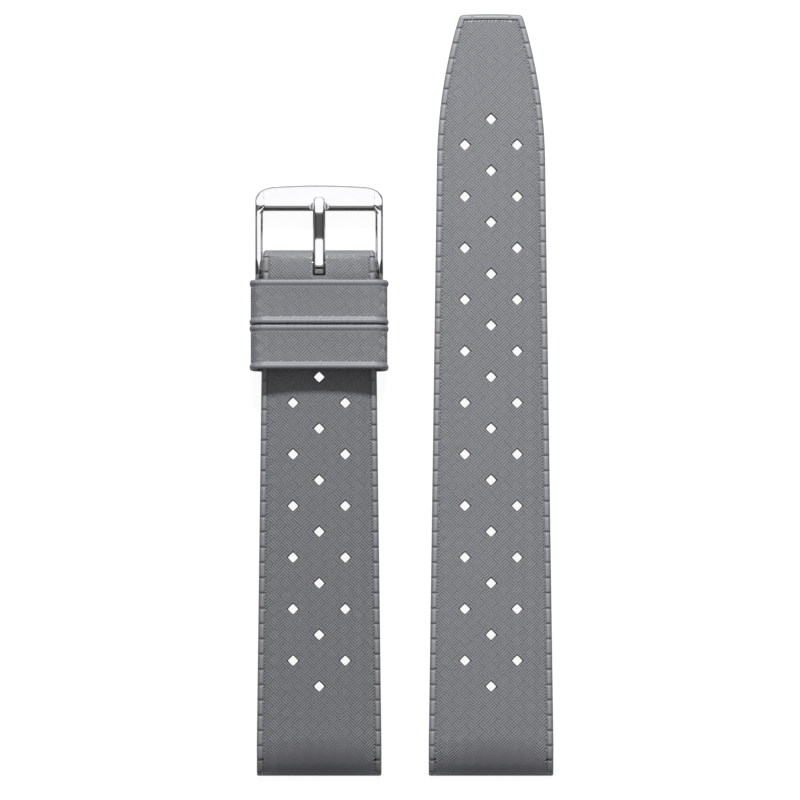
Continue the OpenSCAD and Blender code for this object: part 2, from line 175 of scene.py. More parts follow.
def move_points(piece: bpy.types.Object, places: Points) -> None:
    """Moves a mesh's points, as by hand in edit mode.

    Args:
        piece: A mesh object at the origin.
        places: The points' new places in millimetres.
    """
    piece.data.vertices.foreach_set("co", (places.reshape(-1) * MM).astype(np.float32))
    piece.data.update()


def loft(name: str, grid: Points, closed: bool = False) -> bpy.types.Object:
    """Extrudes a ring of points from station to station and moves each point to its place.

    Args:
        name: The new piece's name.
        grid: Places in millimetres, as stations by ring points by coordinates.
        closed: True if the last station lies on the first one; otherwise both ends are filled.

    Returns:
        The piece, with its faces outwards.
    """
    stations, ring = grid.shape[:2]
    bpy.ops.object.select_all(action="DESELECT")
    bpy.ops.mesh.primitive_circle_add(vertices=ring, radius=1.0)
    piece = bpy.context.object
    piece.name = piece.data.name = name
    bpy.ops.object.mode_set(mode="EDIT")
    bpy.ops.mesh.select_all(action="SELECT")
    bpy.ops.mesh.extrude_repeat(steps=stations - 1, offset=(0, 0, 1))
    bpy.ops.object.mode_set(mode="OBJECT")
    drawn = read_places(piece)
    turn = np.arctan2(-drawn[:, 0], drawn[:, 1]) / (2 * np.pi) * ring
    row = np.round(drawn[:, 2]).astype(int)
    move_points(piece, grid[row, np.round(turn).astype(int) % ring])
    bpy.ops.object.mode_set(mode="EDIT")
    bpy.ops.mesh.select_all(action="SELECT")
    if closed:
        bpy.ops.mesh.remove_doubles(threshold=1e-7)
    else:
        bpy.ops.mesh.fill_holes(sides=0)
        bpy.ops.mesh.select_all(action="SELECT")
    bpy.ops.mesh.normals_make_consistent(inside=False)
    bpy.ops.object.mode_set(mode="OBJECT")
    return piece


def rod(
    sides: int, radius: float, length: float, middle: tuple[float, float, float], axis: Axis
) -> bpy.types.Object:
    """Models a straight rod.

    Args:
        sides: Number of its sides.
        radius: Its radius in millimetres.
        length: Its length in millimetres.
        middle: Its middle in millimetres.
        axis: The axis that it lies along.

    Returns:
        The rod.
    """
    bpy.ops.object.select_all(action="DESELECT")
    bpy.ops.mesh.primitive_cylinder_add(
        vertices=sides,
        radius=radius * MM,
        depth=length * MM,
        location=[v * MM for v in middle],
        rotation=axis.value,
    )
    return bpy.context.object


def repeat(piece: bpy.types.Object, places: Points) -> None:
    """Copies a shape and moves every copy's points to their places.

    Args:
        piece: The shape, modelled once.
        places: Places in millimetres, as copies by points by coordinates.
    """
    take(piece)
    copies = piece.modifiers.new("copies", "ARRAY")
    copies.count = len(places)
    bpy.ops.object.modifier_apply(modifier=copies.name)
    move_points(piece, places)


def carve(body: bpy.types.Object, tool: bpy.types.Object) -> None:
    """Cuts a tool's shape out of a body, and removes the tool.

    Args:
        body: The piece that is cut.
        tool: A closed shape.
    """
    take(body)
    cut = body.modifiers.new("cut", "BOOLEAN")
    cut.operation = "DIFFERENCE"
    cut.solver = "EXACT"
    cut.object = tool
    bpy.ops.object.modifier_apply(modifier=cut.name)
    bpy.data.objects.remove(tool)
    bpy.ops.object.mode_set(mode="EDIT")
    bpy.ops.mesh.select_all(action="SELECT")
    bpy.ops.mesh.remove_doubles(threshold=1e-7)
    bpy.ops.object.mode_set(mode="OBJECT")


def smooth(piece: bpy.types.Object, degrees: float) -> None:
    """Shades a piece smooth over every edge that turns by less than an angle."""
    take(piece)
    bpy.ops.object.shade_smooth_by_angle(angle=math.radians(degrees))


def mark_painted_highlight(piece: bpy.types.Object, share: Points) -> None:
    """Writes how much painted highlight each point of a moulding gets, from 0 to 1, for its finish."""
    mark = piece.data.attributes.new(PAINTED_HIGHLIGHT, "FLOAT", "POINT")
    mark.data.foreach_set("value", share.astype(np.float32))


def join(body: bpy.types.Object, *parts: bpy.types.Object) -> None:
    """Joins parts into a body, which keeps its name.

    Args:
        body: The piece that the others become part of.
        parts: The other pieces.
    """
    take(body)
    for part in parts:
        part.select_set(True)
    bpy.ops.object.join()


def ease(a: float, b: float, t: Points) -> Points:
    """A smooth step between two values.

    Args:
        a: Value where t is 0 or less.
        b: Value where t is 1 or more.
        t: How far along the step.

    Returns:
        The values in between, level at both ends.
    """
    return a + (b - a) * (1 - np.cos(np.pi * np.clip(t, 0, 1))) / 2


def rounding(distance: Points, radius: float) -> Points:
    """How far a rounded edge falls back at a distance from its outermost line.

    Args:
        distance: Distance inwards from that line.
        radius: Radius of the rounding.

    Returns:
        The fall at each distance, 0 beyond the radius.
    """
    left = np.clip(radius - distance, 0, radius)
    return radius - np.sqrt(radius**2 - left**2)


# Finishes


@dataclass(frozen=True)
class SiliconeFinish:
    """Silicone rubber, moulded in a finely blasted tool: satin, and painted paler where a highlight is
    marked.
    """

    name: str
    shade: str
    dusty: str
    # Shade of the painted highlight on rail tops, keeper rims and the nose
    painted_highlight: str
    roughness: float = 0.4
    spread: float = 0.05
    ior: float = 1.41
    sheen: float = 0.1
    sheen_roughness: float = 0.45
    cloud_mm: float = 9.0
    grain_mm: float = 0.11
    grain_depth_mm: float = 0.003

    def dress(self, piece: bpy.types.Object) -> None:
        """Gives a piece this finish.

        Args:
            piece: A silicone piece.
        """
        material, tree = new_material(self.name)
        place = add_node(tree, "TexCoord").outputs["Object"]
        # The compound is never quite even, and skin oil and dust leave it faintly paler in places
        cloud = add_node(
            tree, "TexNoise", {"Vector": place, "Scale": 1 / (self.cloud_mm * MM), "Detail": 3.0}
        )
        tone = add_node(
            tree,
            "Mix",
            {0: cloud.outputs["Fac"], 6: linear(self.shade), 7: linear(self.dusty)},
            data_type="RGBA",
        )
        # Painted highlight: rail tops, keeper rims and the nose, where the light catches them, are painted
        # paler
        oil_film_and_highlight = add_node(tree, "Attribute", attribute_name=PAINTED_HIGHLIGHT)
        tone = add_node(
            tree,
            "Mix",
            {0: oil_film_and_highlight.outputs["Fac"], 6: tone.outputs[2], 7: linear(self.painted_highlight)},
            data_type="RGBA",
        )
        # The tool's blasted skin is finer than a pixel; it is drawn at about a tenth of a millimetre
        grain = add_node(
            tree, "TexNoise", {"Vector": place, "Scale": 1 / (self.grain_mm * MM), "Detail": 2.0}
        )
        rough = add_node(
            tree,
            "MapRange",
            {
                "Value": grain.outputs["Fac"],
                "To Min": self.roughness - self.spread,
                "To Max": self.roughness + self.spread,
            },
        )
        bump = add_node(
            tree,
            "Bump",
            {
                "Height": grain.outputs["Fac"],
                "Distance": self.grain_depth_mm * MM,
                "Strength": 1.0,
            },
        )
        shader = add_node(
            tree,
            "BsdfPrincipled",
            {
                "Base Color": tone.outputs[2],
                "Roughness": rough.outputs["Result"],
                "Normal": bump.outputs["Normal"],
                "IOR": self.ior,
                "Sheen Weight": self.sheen,
                "Sheen Roughness": self.sheen_roughness,
            },
        )
        add_node(tree, "OutputMaterial", {"Surface": shader.outputs["BSDF"]})
        piece.data.materials.clear()
        piece.data.materials.append(material)


@dataclass(frozen=True)
class SteelFinish:
    """Stainless steel. Polished, it mirrors the studio; turned, it keeps fine rings."""

    name: str
    shade: str
    oil_film_and_highlight: str
    roughness: float
    spread: float
    slot: Slot
    line_mm: tuple[float, float, float]
    line_depth_mm: float
    film_mm: float = 4

    def dress(self, piece: bpy.types.Object) -> None:
        """Gives a piece this finish.

        Args:
            piece: A steel piece, or a CAD node that stays in sight.
        """
        material, tree = new_material(self.name)
        place = add_node(tree, "TexCoord").outputs["Object"]
        stretched = add_node(
            tree,
            "Mapping",
            {"Vector": place, "Scale": tuple(1 / (size * MM) for size in self.line_mm)},
        )
        # Marks of the buffing wheel or of the lathe, drawn coarse enough to show
        lines = add_node(
            tree, "TexNoise", {"Vector": stretched.outputs[0], "Scale": 1.0, "Detail": 3.0}
        )
        # A breath of skin oil on the metal
        film = add_node(
            tree, "TexNoise", {"Vector": place, "Scale": 1 / (self.film_mm * MM), "Detail": 2.0}
        )
        tone = add_node(
            tree,
            "Mix",
            {0: film.outputs["Fac"], 6: linear(self.shade), 7: linear(self.oil_film_and_highlight)},
            data_type="RGBA",
        )
        rough = add_node(
            tree,
            "MapRange",
            {
                "Value": lines.outputs["Fac"],
                "To Min": self.roughness - self.spread,
                "To Max": self.roughness + self.spread,
            },
        )
        bump = add_node(
            tree,
            "Bump",
            {"Height": lines.outputs["Fac"], "Distance": self.line_depth_mm * MM, "Strength": 1.0},
        )
        shader = add_node(
            tree,
            "BsdfPrincipled",
            {
                "Base Color": tone.outputs[2],
                "Metallic": 1.0,
                "Roughness": rough.outputs["Result"],
                "Normal": bump.outputs["Normal"],
            },
        )
        add_node(tree, "OutputMaterial", {"Surface": shader.outputs["BSDF"]})
        if piece.material_slots:
            piece.material_slots[0].link = "OBJECT"
            piece.material_slots[0].material = material
        else:
            piece.data.materials.append(material)


# One grey silicone in three copies, each toned to the light on its piece: the tail's is the lightest, and the
# head's and the keepers' darker copies are painted shade
TAIL_SILICONE_LIT_COPY = SiliconeFinish("silicone_grey_tail_lit_copy", "#7C7D81", "#818286", "#8E8F93")
HEAD_SILICONE_PAINTED_SHADE = SiliconeFinish("silicone_grey_head_painted_shade", "#737478", "#77787C", "#838488")
KEEPER_SILICONE_PAINTED_SHADE = SiliconeFinish("silicone_grey_keeper_painted_shade", "#77787C", "#7C7D81", "#84858A")
POLISHED_STEEL = SteelFinish(
    "stainless_steel_polished", "#E7E7E8", "#E0E0E2", 0.075, 0.02, Slot.POLISHED, (0.05, 1.2, 0.6), 0.0004
)
BAR_STEEL = SteelFinish(
    "stainless_steel_turned", "#B4B5B8", "#A6A7AB", 0.3, 0.08, Slot.BAR, (0.06, 2.0, 2.0), 0.002
)


# The weave


@dataclass(frozen=True)
class Rib:
    """One raised rib of the woven relief: a low bar with five long faces, sunk into its panel."""

    half_w: float = 0.166
    shoulder: float = 0.045
    shoulder_h: float = 0.112
    height: float = 0.128
    sunk: float = 0.02
    lean: float = 0.09
    shortest: float = 0.22

    def model(self) -> bpy.types.Object:
        """Models the rib with its length from -1 to 1 along X.

        Returns:
            The rib, to be copied to every place.
        """
        section = np.array(
            [
                (0, self.height),
                (-self.shoulder, self.shoulder_h),
                (-self.half_w, -self.sunk),
                (self.half_w, -self.sunk),
                (self.shoulder, self.shoulder_h),
            ]
        )
        ends = [np.column_stack([np.full(5, u), section]) for u in (-1.0, 1.0)]
        return loft("rib", np.array(ends))


@dataclass(frozen=True)
class Weave:
    """The basket-weave relief: square cells at 45 degrees, four ribs each, turning every cell."""

    cell: float = 8.19 / (4 * math.sqrt(2))
    stretch: float = 8.30 / 8.19
    ribs: int = 4
    samples: int = 33
    rib: Rib = field(default_factory=Rib)
    crease: float = 42.0

    def to_face(self, p: Points, q: Points) -> tuple[Points, Points]:
        """Turns places along the two diagonals into places across and along the face."""
        return (p - q) / math.sqrt(2) * self.stretch, (p + q) / math.sqrt(2)

    def cover(
        self,
        name: str,
        reach: tuple[float, float, float],
        keep: Callable[[Points, Points], Points],
        place: Callable[[Points, Points, Points], Points],
    ) -> bpy.types.Object:
        """Covers a face with ribs.

        Args:
            name: Name of the piece that holds the ribs.
            reach: Largest distance across, and lowest and highest distance along the face.
            keep: Says for distances across and along the face where a rib's middle line may run.
            place: Gives the places in millimetres of points across, along and above the face.

        Returns:
            The ribs as one mesh.
        """
        across, low, high = reach
        first = math.floor((low - across) / math.sqrt(2) / self.cell)
        last = math.ceil((high + across) / math.sqrt(2) / self.cell)
        i, j, k = np.meshgrid(
            np.arange(first, last), np.arange(first, last), np.arange(self.ribs), indexing="ij"
        )
        i, j, k = i.ravel(), j.ravel(), k.ravel()
        middle = (i + j + 1) / math.sqrt(2) * self.cell
        wide = np.abs(i - j) / math.sqrt(2) * self.cell
        near = (middle > low - self.cell) & (middle < high + self.cell) & (wide < across + self.cell)
        i, j, k = i[near], j[near], k[near]
        rising = (i + j) % 2 == 0
        t = np.linspace(0, 1, self.samples)
        beside = (k + 0.5) / self.ribs

        def line(along: Points, aside: Points) -> tuple[Points, Points]:
            """Diagonal places of points along each rib and beside its middle line.

            Args:
                along: Distances along the ribs, in cells.
                aside: Distances beside their middle lines, in cells.

            Returns:
                Places along the two diagonals.
            """
            p = np.where(rising[:, None], i[:, None] + along, (i + beside)[:, None] - aside)
            q = np.where(rising[:, None], (j + beside)[:, None] + aside, j[:, None] + along)
            return p * self.cell, q * self.cell

        x, e = self.to_face(*line(t[None, :].repeat(len(i), 0), np.zeros((len(i), 1))))
        inside = keep(x, e)
        start = t[np.argmax(inside, 1)]
        stop = t[len(t) - 1 - np.argmax(inside[:, ::-1], 1)]
        kept = inside.any(1) & ((stop - start) * self.cell > self.rib.shortest)
        i, j, k, rising, beside = i[kept], j[kept], k[kept], rising[kept], beside[kept]
        start, stop = start[kept], stop[kept]

        piece = self.rib.model()
        piece.name = piece.data.name = name
        shape = read_places(piece) / MM
        inset = np.sign(shape[:, 0]) * np.interp(
            shape[:, 2], (-self.rib.sunk, self.rib.height), (0, self.rib.lean)
        )
        mid, half = (start + stop) / 2, (stop - start) / 2
        along = mid[:, None] + half[:, None] * shape[:, 0] - inset / self.cell
        x, e = self.to_face(*line(along, shape[None, :, 1].repeat(len(i), 0) / self.cell))
        repeat(piece, place(x, e, shape[None, :, 2].repeat(len(i), 0)))
        smooth(piece, self.crease)
        log.info("%s: %d ribs", name, len(i))
        return piece


# The straps


@dataclass
class Strap:
    """What both straps share: side view, rails with stitch notches, woven panel and holes."""

    piece: str
    node: str
    body: str
    finish: SiliconeFinish
    mid_x: float
    length: float
    holes: int
    lug_y: float = LUG_Y
    lug_w: float = 19.8
    straight_len: float = 5.0
    top: float = 4.0
    body_t: float = 2.8
    eye_drop: float = 1.2
    lug_curve: float = 6.5
    lug_end_h: float = 0.8
    lug_round: float = 0.7
    lug_corner: float = 0.3
    lug_land: float = 4.6
    lug_ramp: float = 4.5
    lug_setback: float = 2.9
    lug_bar_h: float = 1.55
    lug_bore_r: float = 0.9
    rail_w: float = 0.95
    rail_h: float = 0.25
    crown: float = 0.9
    crown_lift: float = 0.12
    notch_pitch: float = 2.425
    first_notch: float = 0.92
    notch_depth: float = 0.3
    hole_side: float = 1.17
    hole_flare: float = 0.17
    hole_pitch: float = 8.19
    hole_offset: float = 4.15
    first_hole: float = 14.2
    channel_w: float = 0.9
    channel_depth: float = 0.35
    margin_w: float = 1.9
    channel_stop: float = 0.8
    full_t: float = 1.7
    least_full: float = 0.02
    crease: float = 38.0
    weave: Weave = field(default_factory=Weave)

    # Distance inwards from the edge and depth below the front face, from the panel to the side
    rail_shape: tuple[tuple[float, float], ...] = (
        (1.26, 0.25),
        (1.14, 0.33),
        (1.0, 0.36),
        (0.9, 0.28),
        (0.82, 0.09),
        (0.72, 0.02),
        (0.54, 0.0),
        (0.38, 0.015),
        (0.27, 0.075),
        (0.18, 0.2),
        (0.09, 0.4),
        (0.03, 0.6),
        (0.0, 0.78),
    )
    # Distance inwards from the edge and height above the underside, from the side to the flat
    foot_shape: tuple[tuple[float, float], ...] = ((0.0, 0.42), (0.06, 0.2), (0.2, 0.06), (0.42, 0.0))
    # Shares of the half width at which the panel and the flat underside have points
    panel_shares: tuple[float, ...] = (0.0, 0.26, 0.51, 0.76)
    # Distance along the face from a notch's middle, and share of its depth there
    notch_shape: tuple[tuple[float, float], ...] = (
        (-0.42, 0.0),
        (-0.24, 0.12),
        (-0.14, 0.5),
        (-0.07, 1.0),
        (0.07, 1.0),
        (0.14, 0.5),
        (0.24, 0.12),
        (0.42, 0.0),
    )
    # Distance inwards from the edge, and share of a notch's depth there
    notch_across: tuple[tuple[float, float], ...] = (
        (0.0, 0.5),
        (0.2, 1.0),
        (0.82, 1.0),
        (1.0, 0.2),
        (1.2, 0.0),
    )

    def __post_init__(self) -> None:
        """Works out the curve of the lug end."""
        drop = self.top - self.lug_end_h
        self.curve_r = (self.lug_curve**2 + drop**2) / (2 * drop)
        self.curve_len = self.curve_r * math.asin(self.lug_curve / self.curve_r)
        self.hole_s = self.first_hole + self.curve_len - self.lug_curve

    def reach(self, s: Points) -> Points:
        """Distance from the lug end, square to it, of places along the front face.

        Args:
            s: Distances along the front face.

        Returns:
            Distances from the lug end.
        """
        turn = np.clip(self.curve_len - s, 0, None) / self.curve_r
        curved = self.lug_curve - self.curve_r * np.sin(turn)
        return np.where(s < self.curve_len, curved, self.lug_curve + s - self.curve_len)

    def lug_front(self, e: Points) -> Points:
        """Height of the front face over the lug end and the level stretch behind it."""
        left = np.clip(self.lug_curve - e, 0, self.lug_curve)
        return self.top - self.curve_r + np.sqrt(self.curve_r**2 - left**2)

    def lug_under(self, e: Points) -> Points:
        """Height of the underside over the eye at the lug end and the stretch behind it."""
        ramp = ease(0, self.eye_drop, (e - self.lug_land) / self.lug_ramp)
        return ramp + rounding(e, self.lug_round)

    def front(self, e: Points) -> Points:
        """Height of the front face over the middle line."""
        return self.lug_front(e)

    def under(self, e: Points) -> Points:
        """Height of the underside."""
        return self.lug_under(e)

    def edge(self, e: Points) -> Points:
        """Half the width, before the corners are rounded."""
        raise NotImplementedError

    def half_width(self, e: Points) -> Points:
        """Half the width, with its corners rounded."""
        return self.edge(e) - rounding(e, self.lug_corner)

    def end_distance(self, e: Points) -> Points:
        """Distance from the far end where a rail runs along it, and a large one where none does."""
        return np.full(np.shape(e), 99.0)

    def normal(self, e: Points) -> tuple[Points, Points]:
        """Direction square to the front face.

        Args:
            e: Distances from the lug end.

        Returns:
            Its two parts, along the strap and upwards.
        """
        step = 0.01
        low, high = np.clip(e - step, 0, self.length), np.clip(e + step, 0, self.length)
        rise = (self.front(high) - self.front(low)) / (high - low)
        size = np.sqrt(1 + rise**2)
        return -rise / size, 1 / size

    def fullness(self, e: Points) -> Points:
        """How much of the rails' and edges' depth fits into the thickness there, up to 1."""
        return np.clip((self.front(e) - self.under(e)) / self.full_t, self.least_full, 1)

    def crowned(self, x: Points, e: Points) -> Points:
        """How far the domed front stands above the plain side view, across the width.

        Args:
            x: Distances from the middle line.
            e: Distances from the lug end.

        Returns:
            The heights to add.
        """
        least_t, gain_t = 0.8, 2.0
        at_lug, start, run = 0.35, 1.5, 5
        fade = np.clip((self.front(e) - self.under(e) - least_t) / gain_t, 0, 1)
        fade *= ease(at_lug, 1, (e - start) / run)
        return fade * (self.crown_lift - self.crown * (x / (self.lug_w / 2)) ** 2)

    def rows(self) -> tuple[Points, Points]:
        """Places of the rows of points along the strap.

        Returns:
            Their distances from the lug end, and the share of a notch's depth at each.
        """
        count = int((self.length - self.first_notch) / self.notch_pitch) + 1
        found = {0.0: 0.0, 0.03: 0.0, 0.1: 0.0, 0.2: 0.0, 0.34: 0.0}
        for n in range(count):
            s = self.first_notch + n * self.notch_pitch
            for away, share in self.notch_shape:
                found[float(self.reach(np.array(s + away)))] = share
            for part in (0.38, 0.62):
                found[float(self.reach(np.array(s + part * self.notch_pitch)))] = 0.0
        for e in self.end_rows():
            found.setdefault(e, 0.0)
        e = np.array(sorted(v for v in found if 0 <= v <= self.length))
        share = np.array([found[v] for v in e])
        wide = np.append(True, np.diff(e) > 0.012)
        return e[wide], share[wide]

    def end_rows(self) -> list[float]:
        """Distances from the lug end of the rows that shape the far end."""
        raise NotImplementedError

    def skin(self) -> bpy.types.Object:
        """Models the moulding without its holes.

        Returns:
            The closed skin.
        """
        e, share = self.rows()
        half, end, full = self.half_width(e), self.end_distance(e), self.fullness(e)
        along, up = self.normal(e)
        slant = np.gradient(self.edge(e), e)
        widen = np.sqrt(1 + np.clip(slant, -0.5, 0) ** 2)
        inner = self.rail_shape[0][0]
        tops = [(share_x, None) for share_x in self.panel_shares] + [(None, u) for u, _ in self.rail_shape]
        feet = [(None, u) for u, _ in self.foot_shape] + [(s, None) for s in self.panel_shares[::-1]]
        rail_u, rail_f = np.array(self.rail_shape[::-1]).T
        foot_u, foot_b = np.array(self.foot_shape).T
        notch_u, notch_share = np.array(self.notch_across).T
        deepest_shift = 0.3
        half_ring = []
        for number, (share_x, u) in enumerate(tops + feet):
            on_top = number < len(tops)
            inwards = np.full(len(e), 99.0 if u is None else u)
            x = share_x * (half - inner * widen) if u is None else half - u * widen
            nearest = np.minimum(inwards, end)
            if on_top:
                depth = np.interp(nearest, rail_u, rail_f)
                cut = np.interp(inwards, notch_u, notch_share)
                depth, cut = depth * full, self.notch_depth * cut * share * full / up
                y = e - along * np.minimum(depth, deepest_shift)
                z = self.front(e) - up * depth - cut + self.crowned(x, e)
            else:
                lift = np.interp(nearest, foot_u, foot_b) * full
                y = e
                z = self.under(e) + lift
            half_ring.append(np.column_stack([x, y, z]))
        ring = np.array(half_ring)
        mirrored = ring[-2:0:-1] * (-1, 1, 1)
        grid = np.concatenate([ring, mirrored]).transpose(1, 0, 2)
        return loft(self.piece, grid + (self.mid_x, self.lug_y, 0))

    def hole_places(self) -> Points:
        """Places x and e of all the diamond holes."""
        e = self.first_hole + self.hole_pitch * np.arange(self.holes)
        middle = [(0, v) for v in e]
        beside = [(x, v + self.hole_pitch / 2) for v in e[:-1] for x in (-self.hole_offset, self.hole_offset)]
        return np.array(middle + beside)

    def hole_tool(self) -> bpy.types.Object:
        """Models the pins that leave the diamond holes, a little wider at the front face.

        Returns:
            All the pins as one mesh.
        """
        places = self.hole_places()
        over = 0.8
        corners = np.array([(0, 1), (-1, 0), (0, -1), (1, 0)])
        small, large = self.hole_side / math.sqrt(2), (self.hole_side + 2 * self.hole_flare) / math.sqrt(2)
        grid = np.array([np.column_stack([corners, np.full(4, v)]) for v in (0.0, 1.0)])
        pin = loft("hole_pins", grid)
        shape = read_places(pin) / MM
        low = self.under(places[:, 1])
        tall = self.front(places[:, 1]) - low
        blocks = []
        for (x, e), foot, t in zip(places, low, tall, strict=True):
            slope = (large - small) / t
            z = np.where(shape[:, 2] > 0.5, foot + t + over, foot - over)
            size = small + slope * (z - foot)
            across, along = shape[:, 0] * size + x, shape[:, 1] * size + e
            blocks.append(np.column_stack([across + self.mid_x, along + self.lug_y, z]))
        repeat(pin, np.array(blocks))
        return pin

    def channel_tool(self, lean: int, last_e: float) -> bpy.types.Object:
        """Models the round bars that leave the vent channels of one direction.

        Args:
            lean: 1 for the channels that run away to the right, -1 for the others.
            last_e: Distance from the lug end at which channels stop.

        Returns:
            All the bars as one mesh.
        """
        steps, sides = 9, 12
        # The two directions' bars are turned apart so that no points of theirs coincide where they cross
        turn = np.linspace(0, 2 * np.pi, sides, endpoint=False) + lean * math.pi / sides / 2
        round_bar = np.cos(turn), np.sin(turn)
        grid = [np.column_stack([np.full(sides, u), *round_bar]) for u in np.linspace(-1, 1, steps)]
        bar = loft("channel_bars", np.array(grid))
        shape = read_places(bar) / MM
        blocks = []
        for n in range(self.holes):
            hole_e = self.first_hole + n * self.hole_pitch
            side = self.lug_w / 2 - self.margin_w - self.channel_stop
            x = shape[:, 0] * side
            e = np.clip(hole_e + lean * x, self.first_hole / 2, last_e)
            x = lean * (e - hole_e)
            across = shape[:, 1] * self.channel_w / 2 / math.sqrt(2)
            z = self.under(e) + shape[:, 2] * self.channel_depth
            blocks.append(np.column_stack([x + self.mid_x - lean * across, e + self.lug_y + across, z]))
        repeat(bar, np.array(blocks))
        return bar

    def pin_tool(self, e: float, h: float, radius: float) -> bpy.types.Object:
        """Models the rod that leaves the eye for a spring bar.

        Args:
            e: Distance of its axis from the lug end.
            h: Height of its axis.
            radius: Its radius.

        Returns:
            The rod.
        """
        return rod(40, radius, 1.5 * self.lug_w, (self.mid_x, self.lug_y + e, h), Axis.X)

    def on_panel(self, x: Points, s: Points, h: Points) -> Points:
        """Places of points on the woven panel.

        Args:
            x: Distances from the middle line.
            s: Distances along the front face.
            h: Heights above the panel.

        Returns:
            Their coordinates in millimetres.
        """
        e = self.reach(s)
        along, up = self.normal(e)
        depth = self.rail_h * self.fullness(e) - h
        y = e - along * depth
        z = self.front(e) - up * depth + self.crowned(x, e)
        return np.stack([x + self.mid_x, y + self.lug_y, z], -1)

    def may_weave(self, x: Points, s: Points) -> Points:
        """Where a rib's middle line may run: on the panel, and just into the rails.

        Args:
            x: Distances from the middle line.
            s: Distances along the front face.

        Returns:
            True where it may.
        """
        e = self.reach(s)
        ditch = 0.12
        return (np.abs(x) < self.half_width(e) - self.rail_w - ditch) & (s > 0.1)

    def clear_of_holes(self, x: Points, s: Points) -> Points:
        """Where a rib's middle line runs clear of every hole.

        Args:
            x: Distances from the middle line.
            s: Distances along the front face.

        Returns:
            True where it does.
        """
        along = (s - self.hole_s) / math.sqrt(2)
        aside = x / self.weave.stretch / math.sqrt(2)
        p, q = along + aside, along - aside
        pitch = 4 * self.weave.cell
        m, n = np.round(p / pitch), np.round(q / pitch)
        off = np.maximum(np.abs(p - m * pitch), np.abs(q - n * pitch))
        row = (m + n) / 2
        real = (np.abs(m - n) <= 1) & (row >= 0) & (row <= self.holes - 1)
        border = 0.01
        return ~(real & (off < self.hole_side / 2 + self.hole_flare + border))

    def cover(self) -> bpy.types.Object:
        """Lays the woven relief over the panel.

        Returns:
            The ribs as one mesh.
        """
        return self.weave.cover(
            self.piece + "_weave",
            (self.lug_w / 2, -self.hole_s, self.length - self.first_hole + 1),
            lambda x, e: self.may_weave(x, e + self.hole_s) & self.clear_of_holes(x, e + self.hole_s),
            lambda x, e, h: self.on_panel(x, e + self.hole_s, h),
        )

    def paint_highlight(self, moulding: bpy.types.Object) -> None:
        """Marks the tops of the rails, and the nose where there is one, for a painted highlight in the
        finish.

        Args:
            moulding: The strap, with its ribs.
        """
        places = read_places(moulding) / MM
        e = places[:, 1] - self.lug_y
        inwards = self.half_width(e) - np.abs(places[:, 0] - self.mid_x)
        inwards = np.minimum(inwards, self.end_distance(e))
        high = places[:, 2] > (self.front(e) + self.under(e)) / 2
        outside, outer_fade, inside, inner_fade = 0.12, 0.2, 0.84, 0.1
        share = ease(0, 1, (inwards - outside) / outer_fade) * ease(1, 0, (inwards - inside) / inner_fade)
        # Painted highlight on the rail tops and the nose, on the upper half only
        mark_painted_highlight(moulding, np.maximum(share, self.nose_highlight(e)) * high)

    def nose_highlight(self, e: Points) -> Points:
        """How much painted highlight the front gets at distances from the lug end; none here."""
        return np.zeros_like(e)

    def carve_end(self, moulding: bpy.types.Object) -> None:
        """Cuts what only one of the straps has."""
        raise NotImplementedError

    def channel_end(self) -> float:
        """Distance from the lug end at which the vent channels stop."""
        raise NotImplementedError

    def build(self) -> bpy.types.Object:
        """Builds the whole moulding in place of its CAD node.

        Returns:
            The finished piece.
        """
        moulding = self.skin()
        carve(moulding, self.hole_tool())
        carve(moulding, self.pin_tool(self.lug_setback, self.lug_bar_h, self.lug_bore_r))
        for lean in (1, -1):
            carve(moulding, self.channel_tool(lean, self.channel_end()))
        self.carve_end(moulding)
        smooth(moulding, self.crease)
        join(moulding, self.cover())
        self.paint_highlight(moulding)
        self.finish.dress(moulding)
        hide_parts(self.node)
        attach(moulding, self.body)
        return moulding


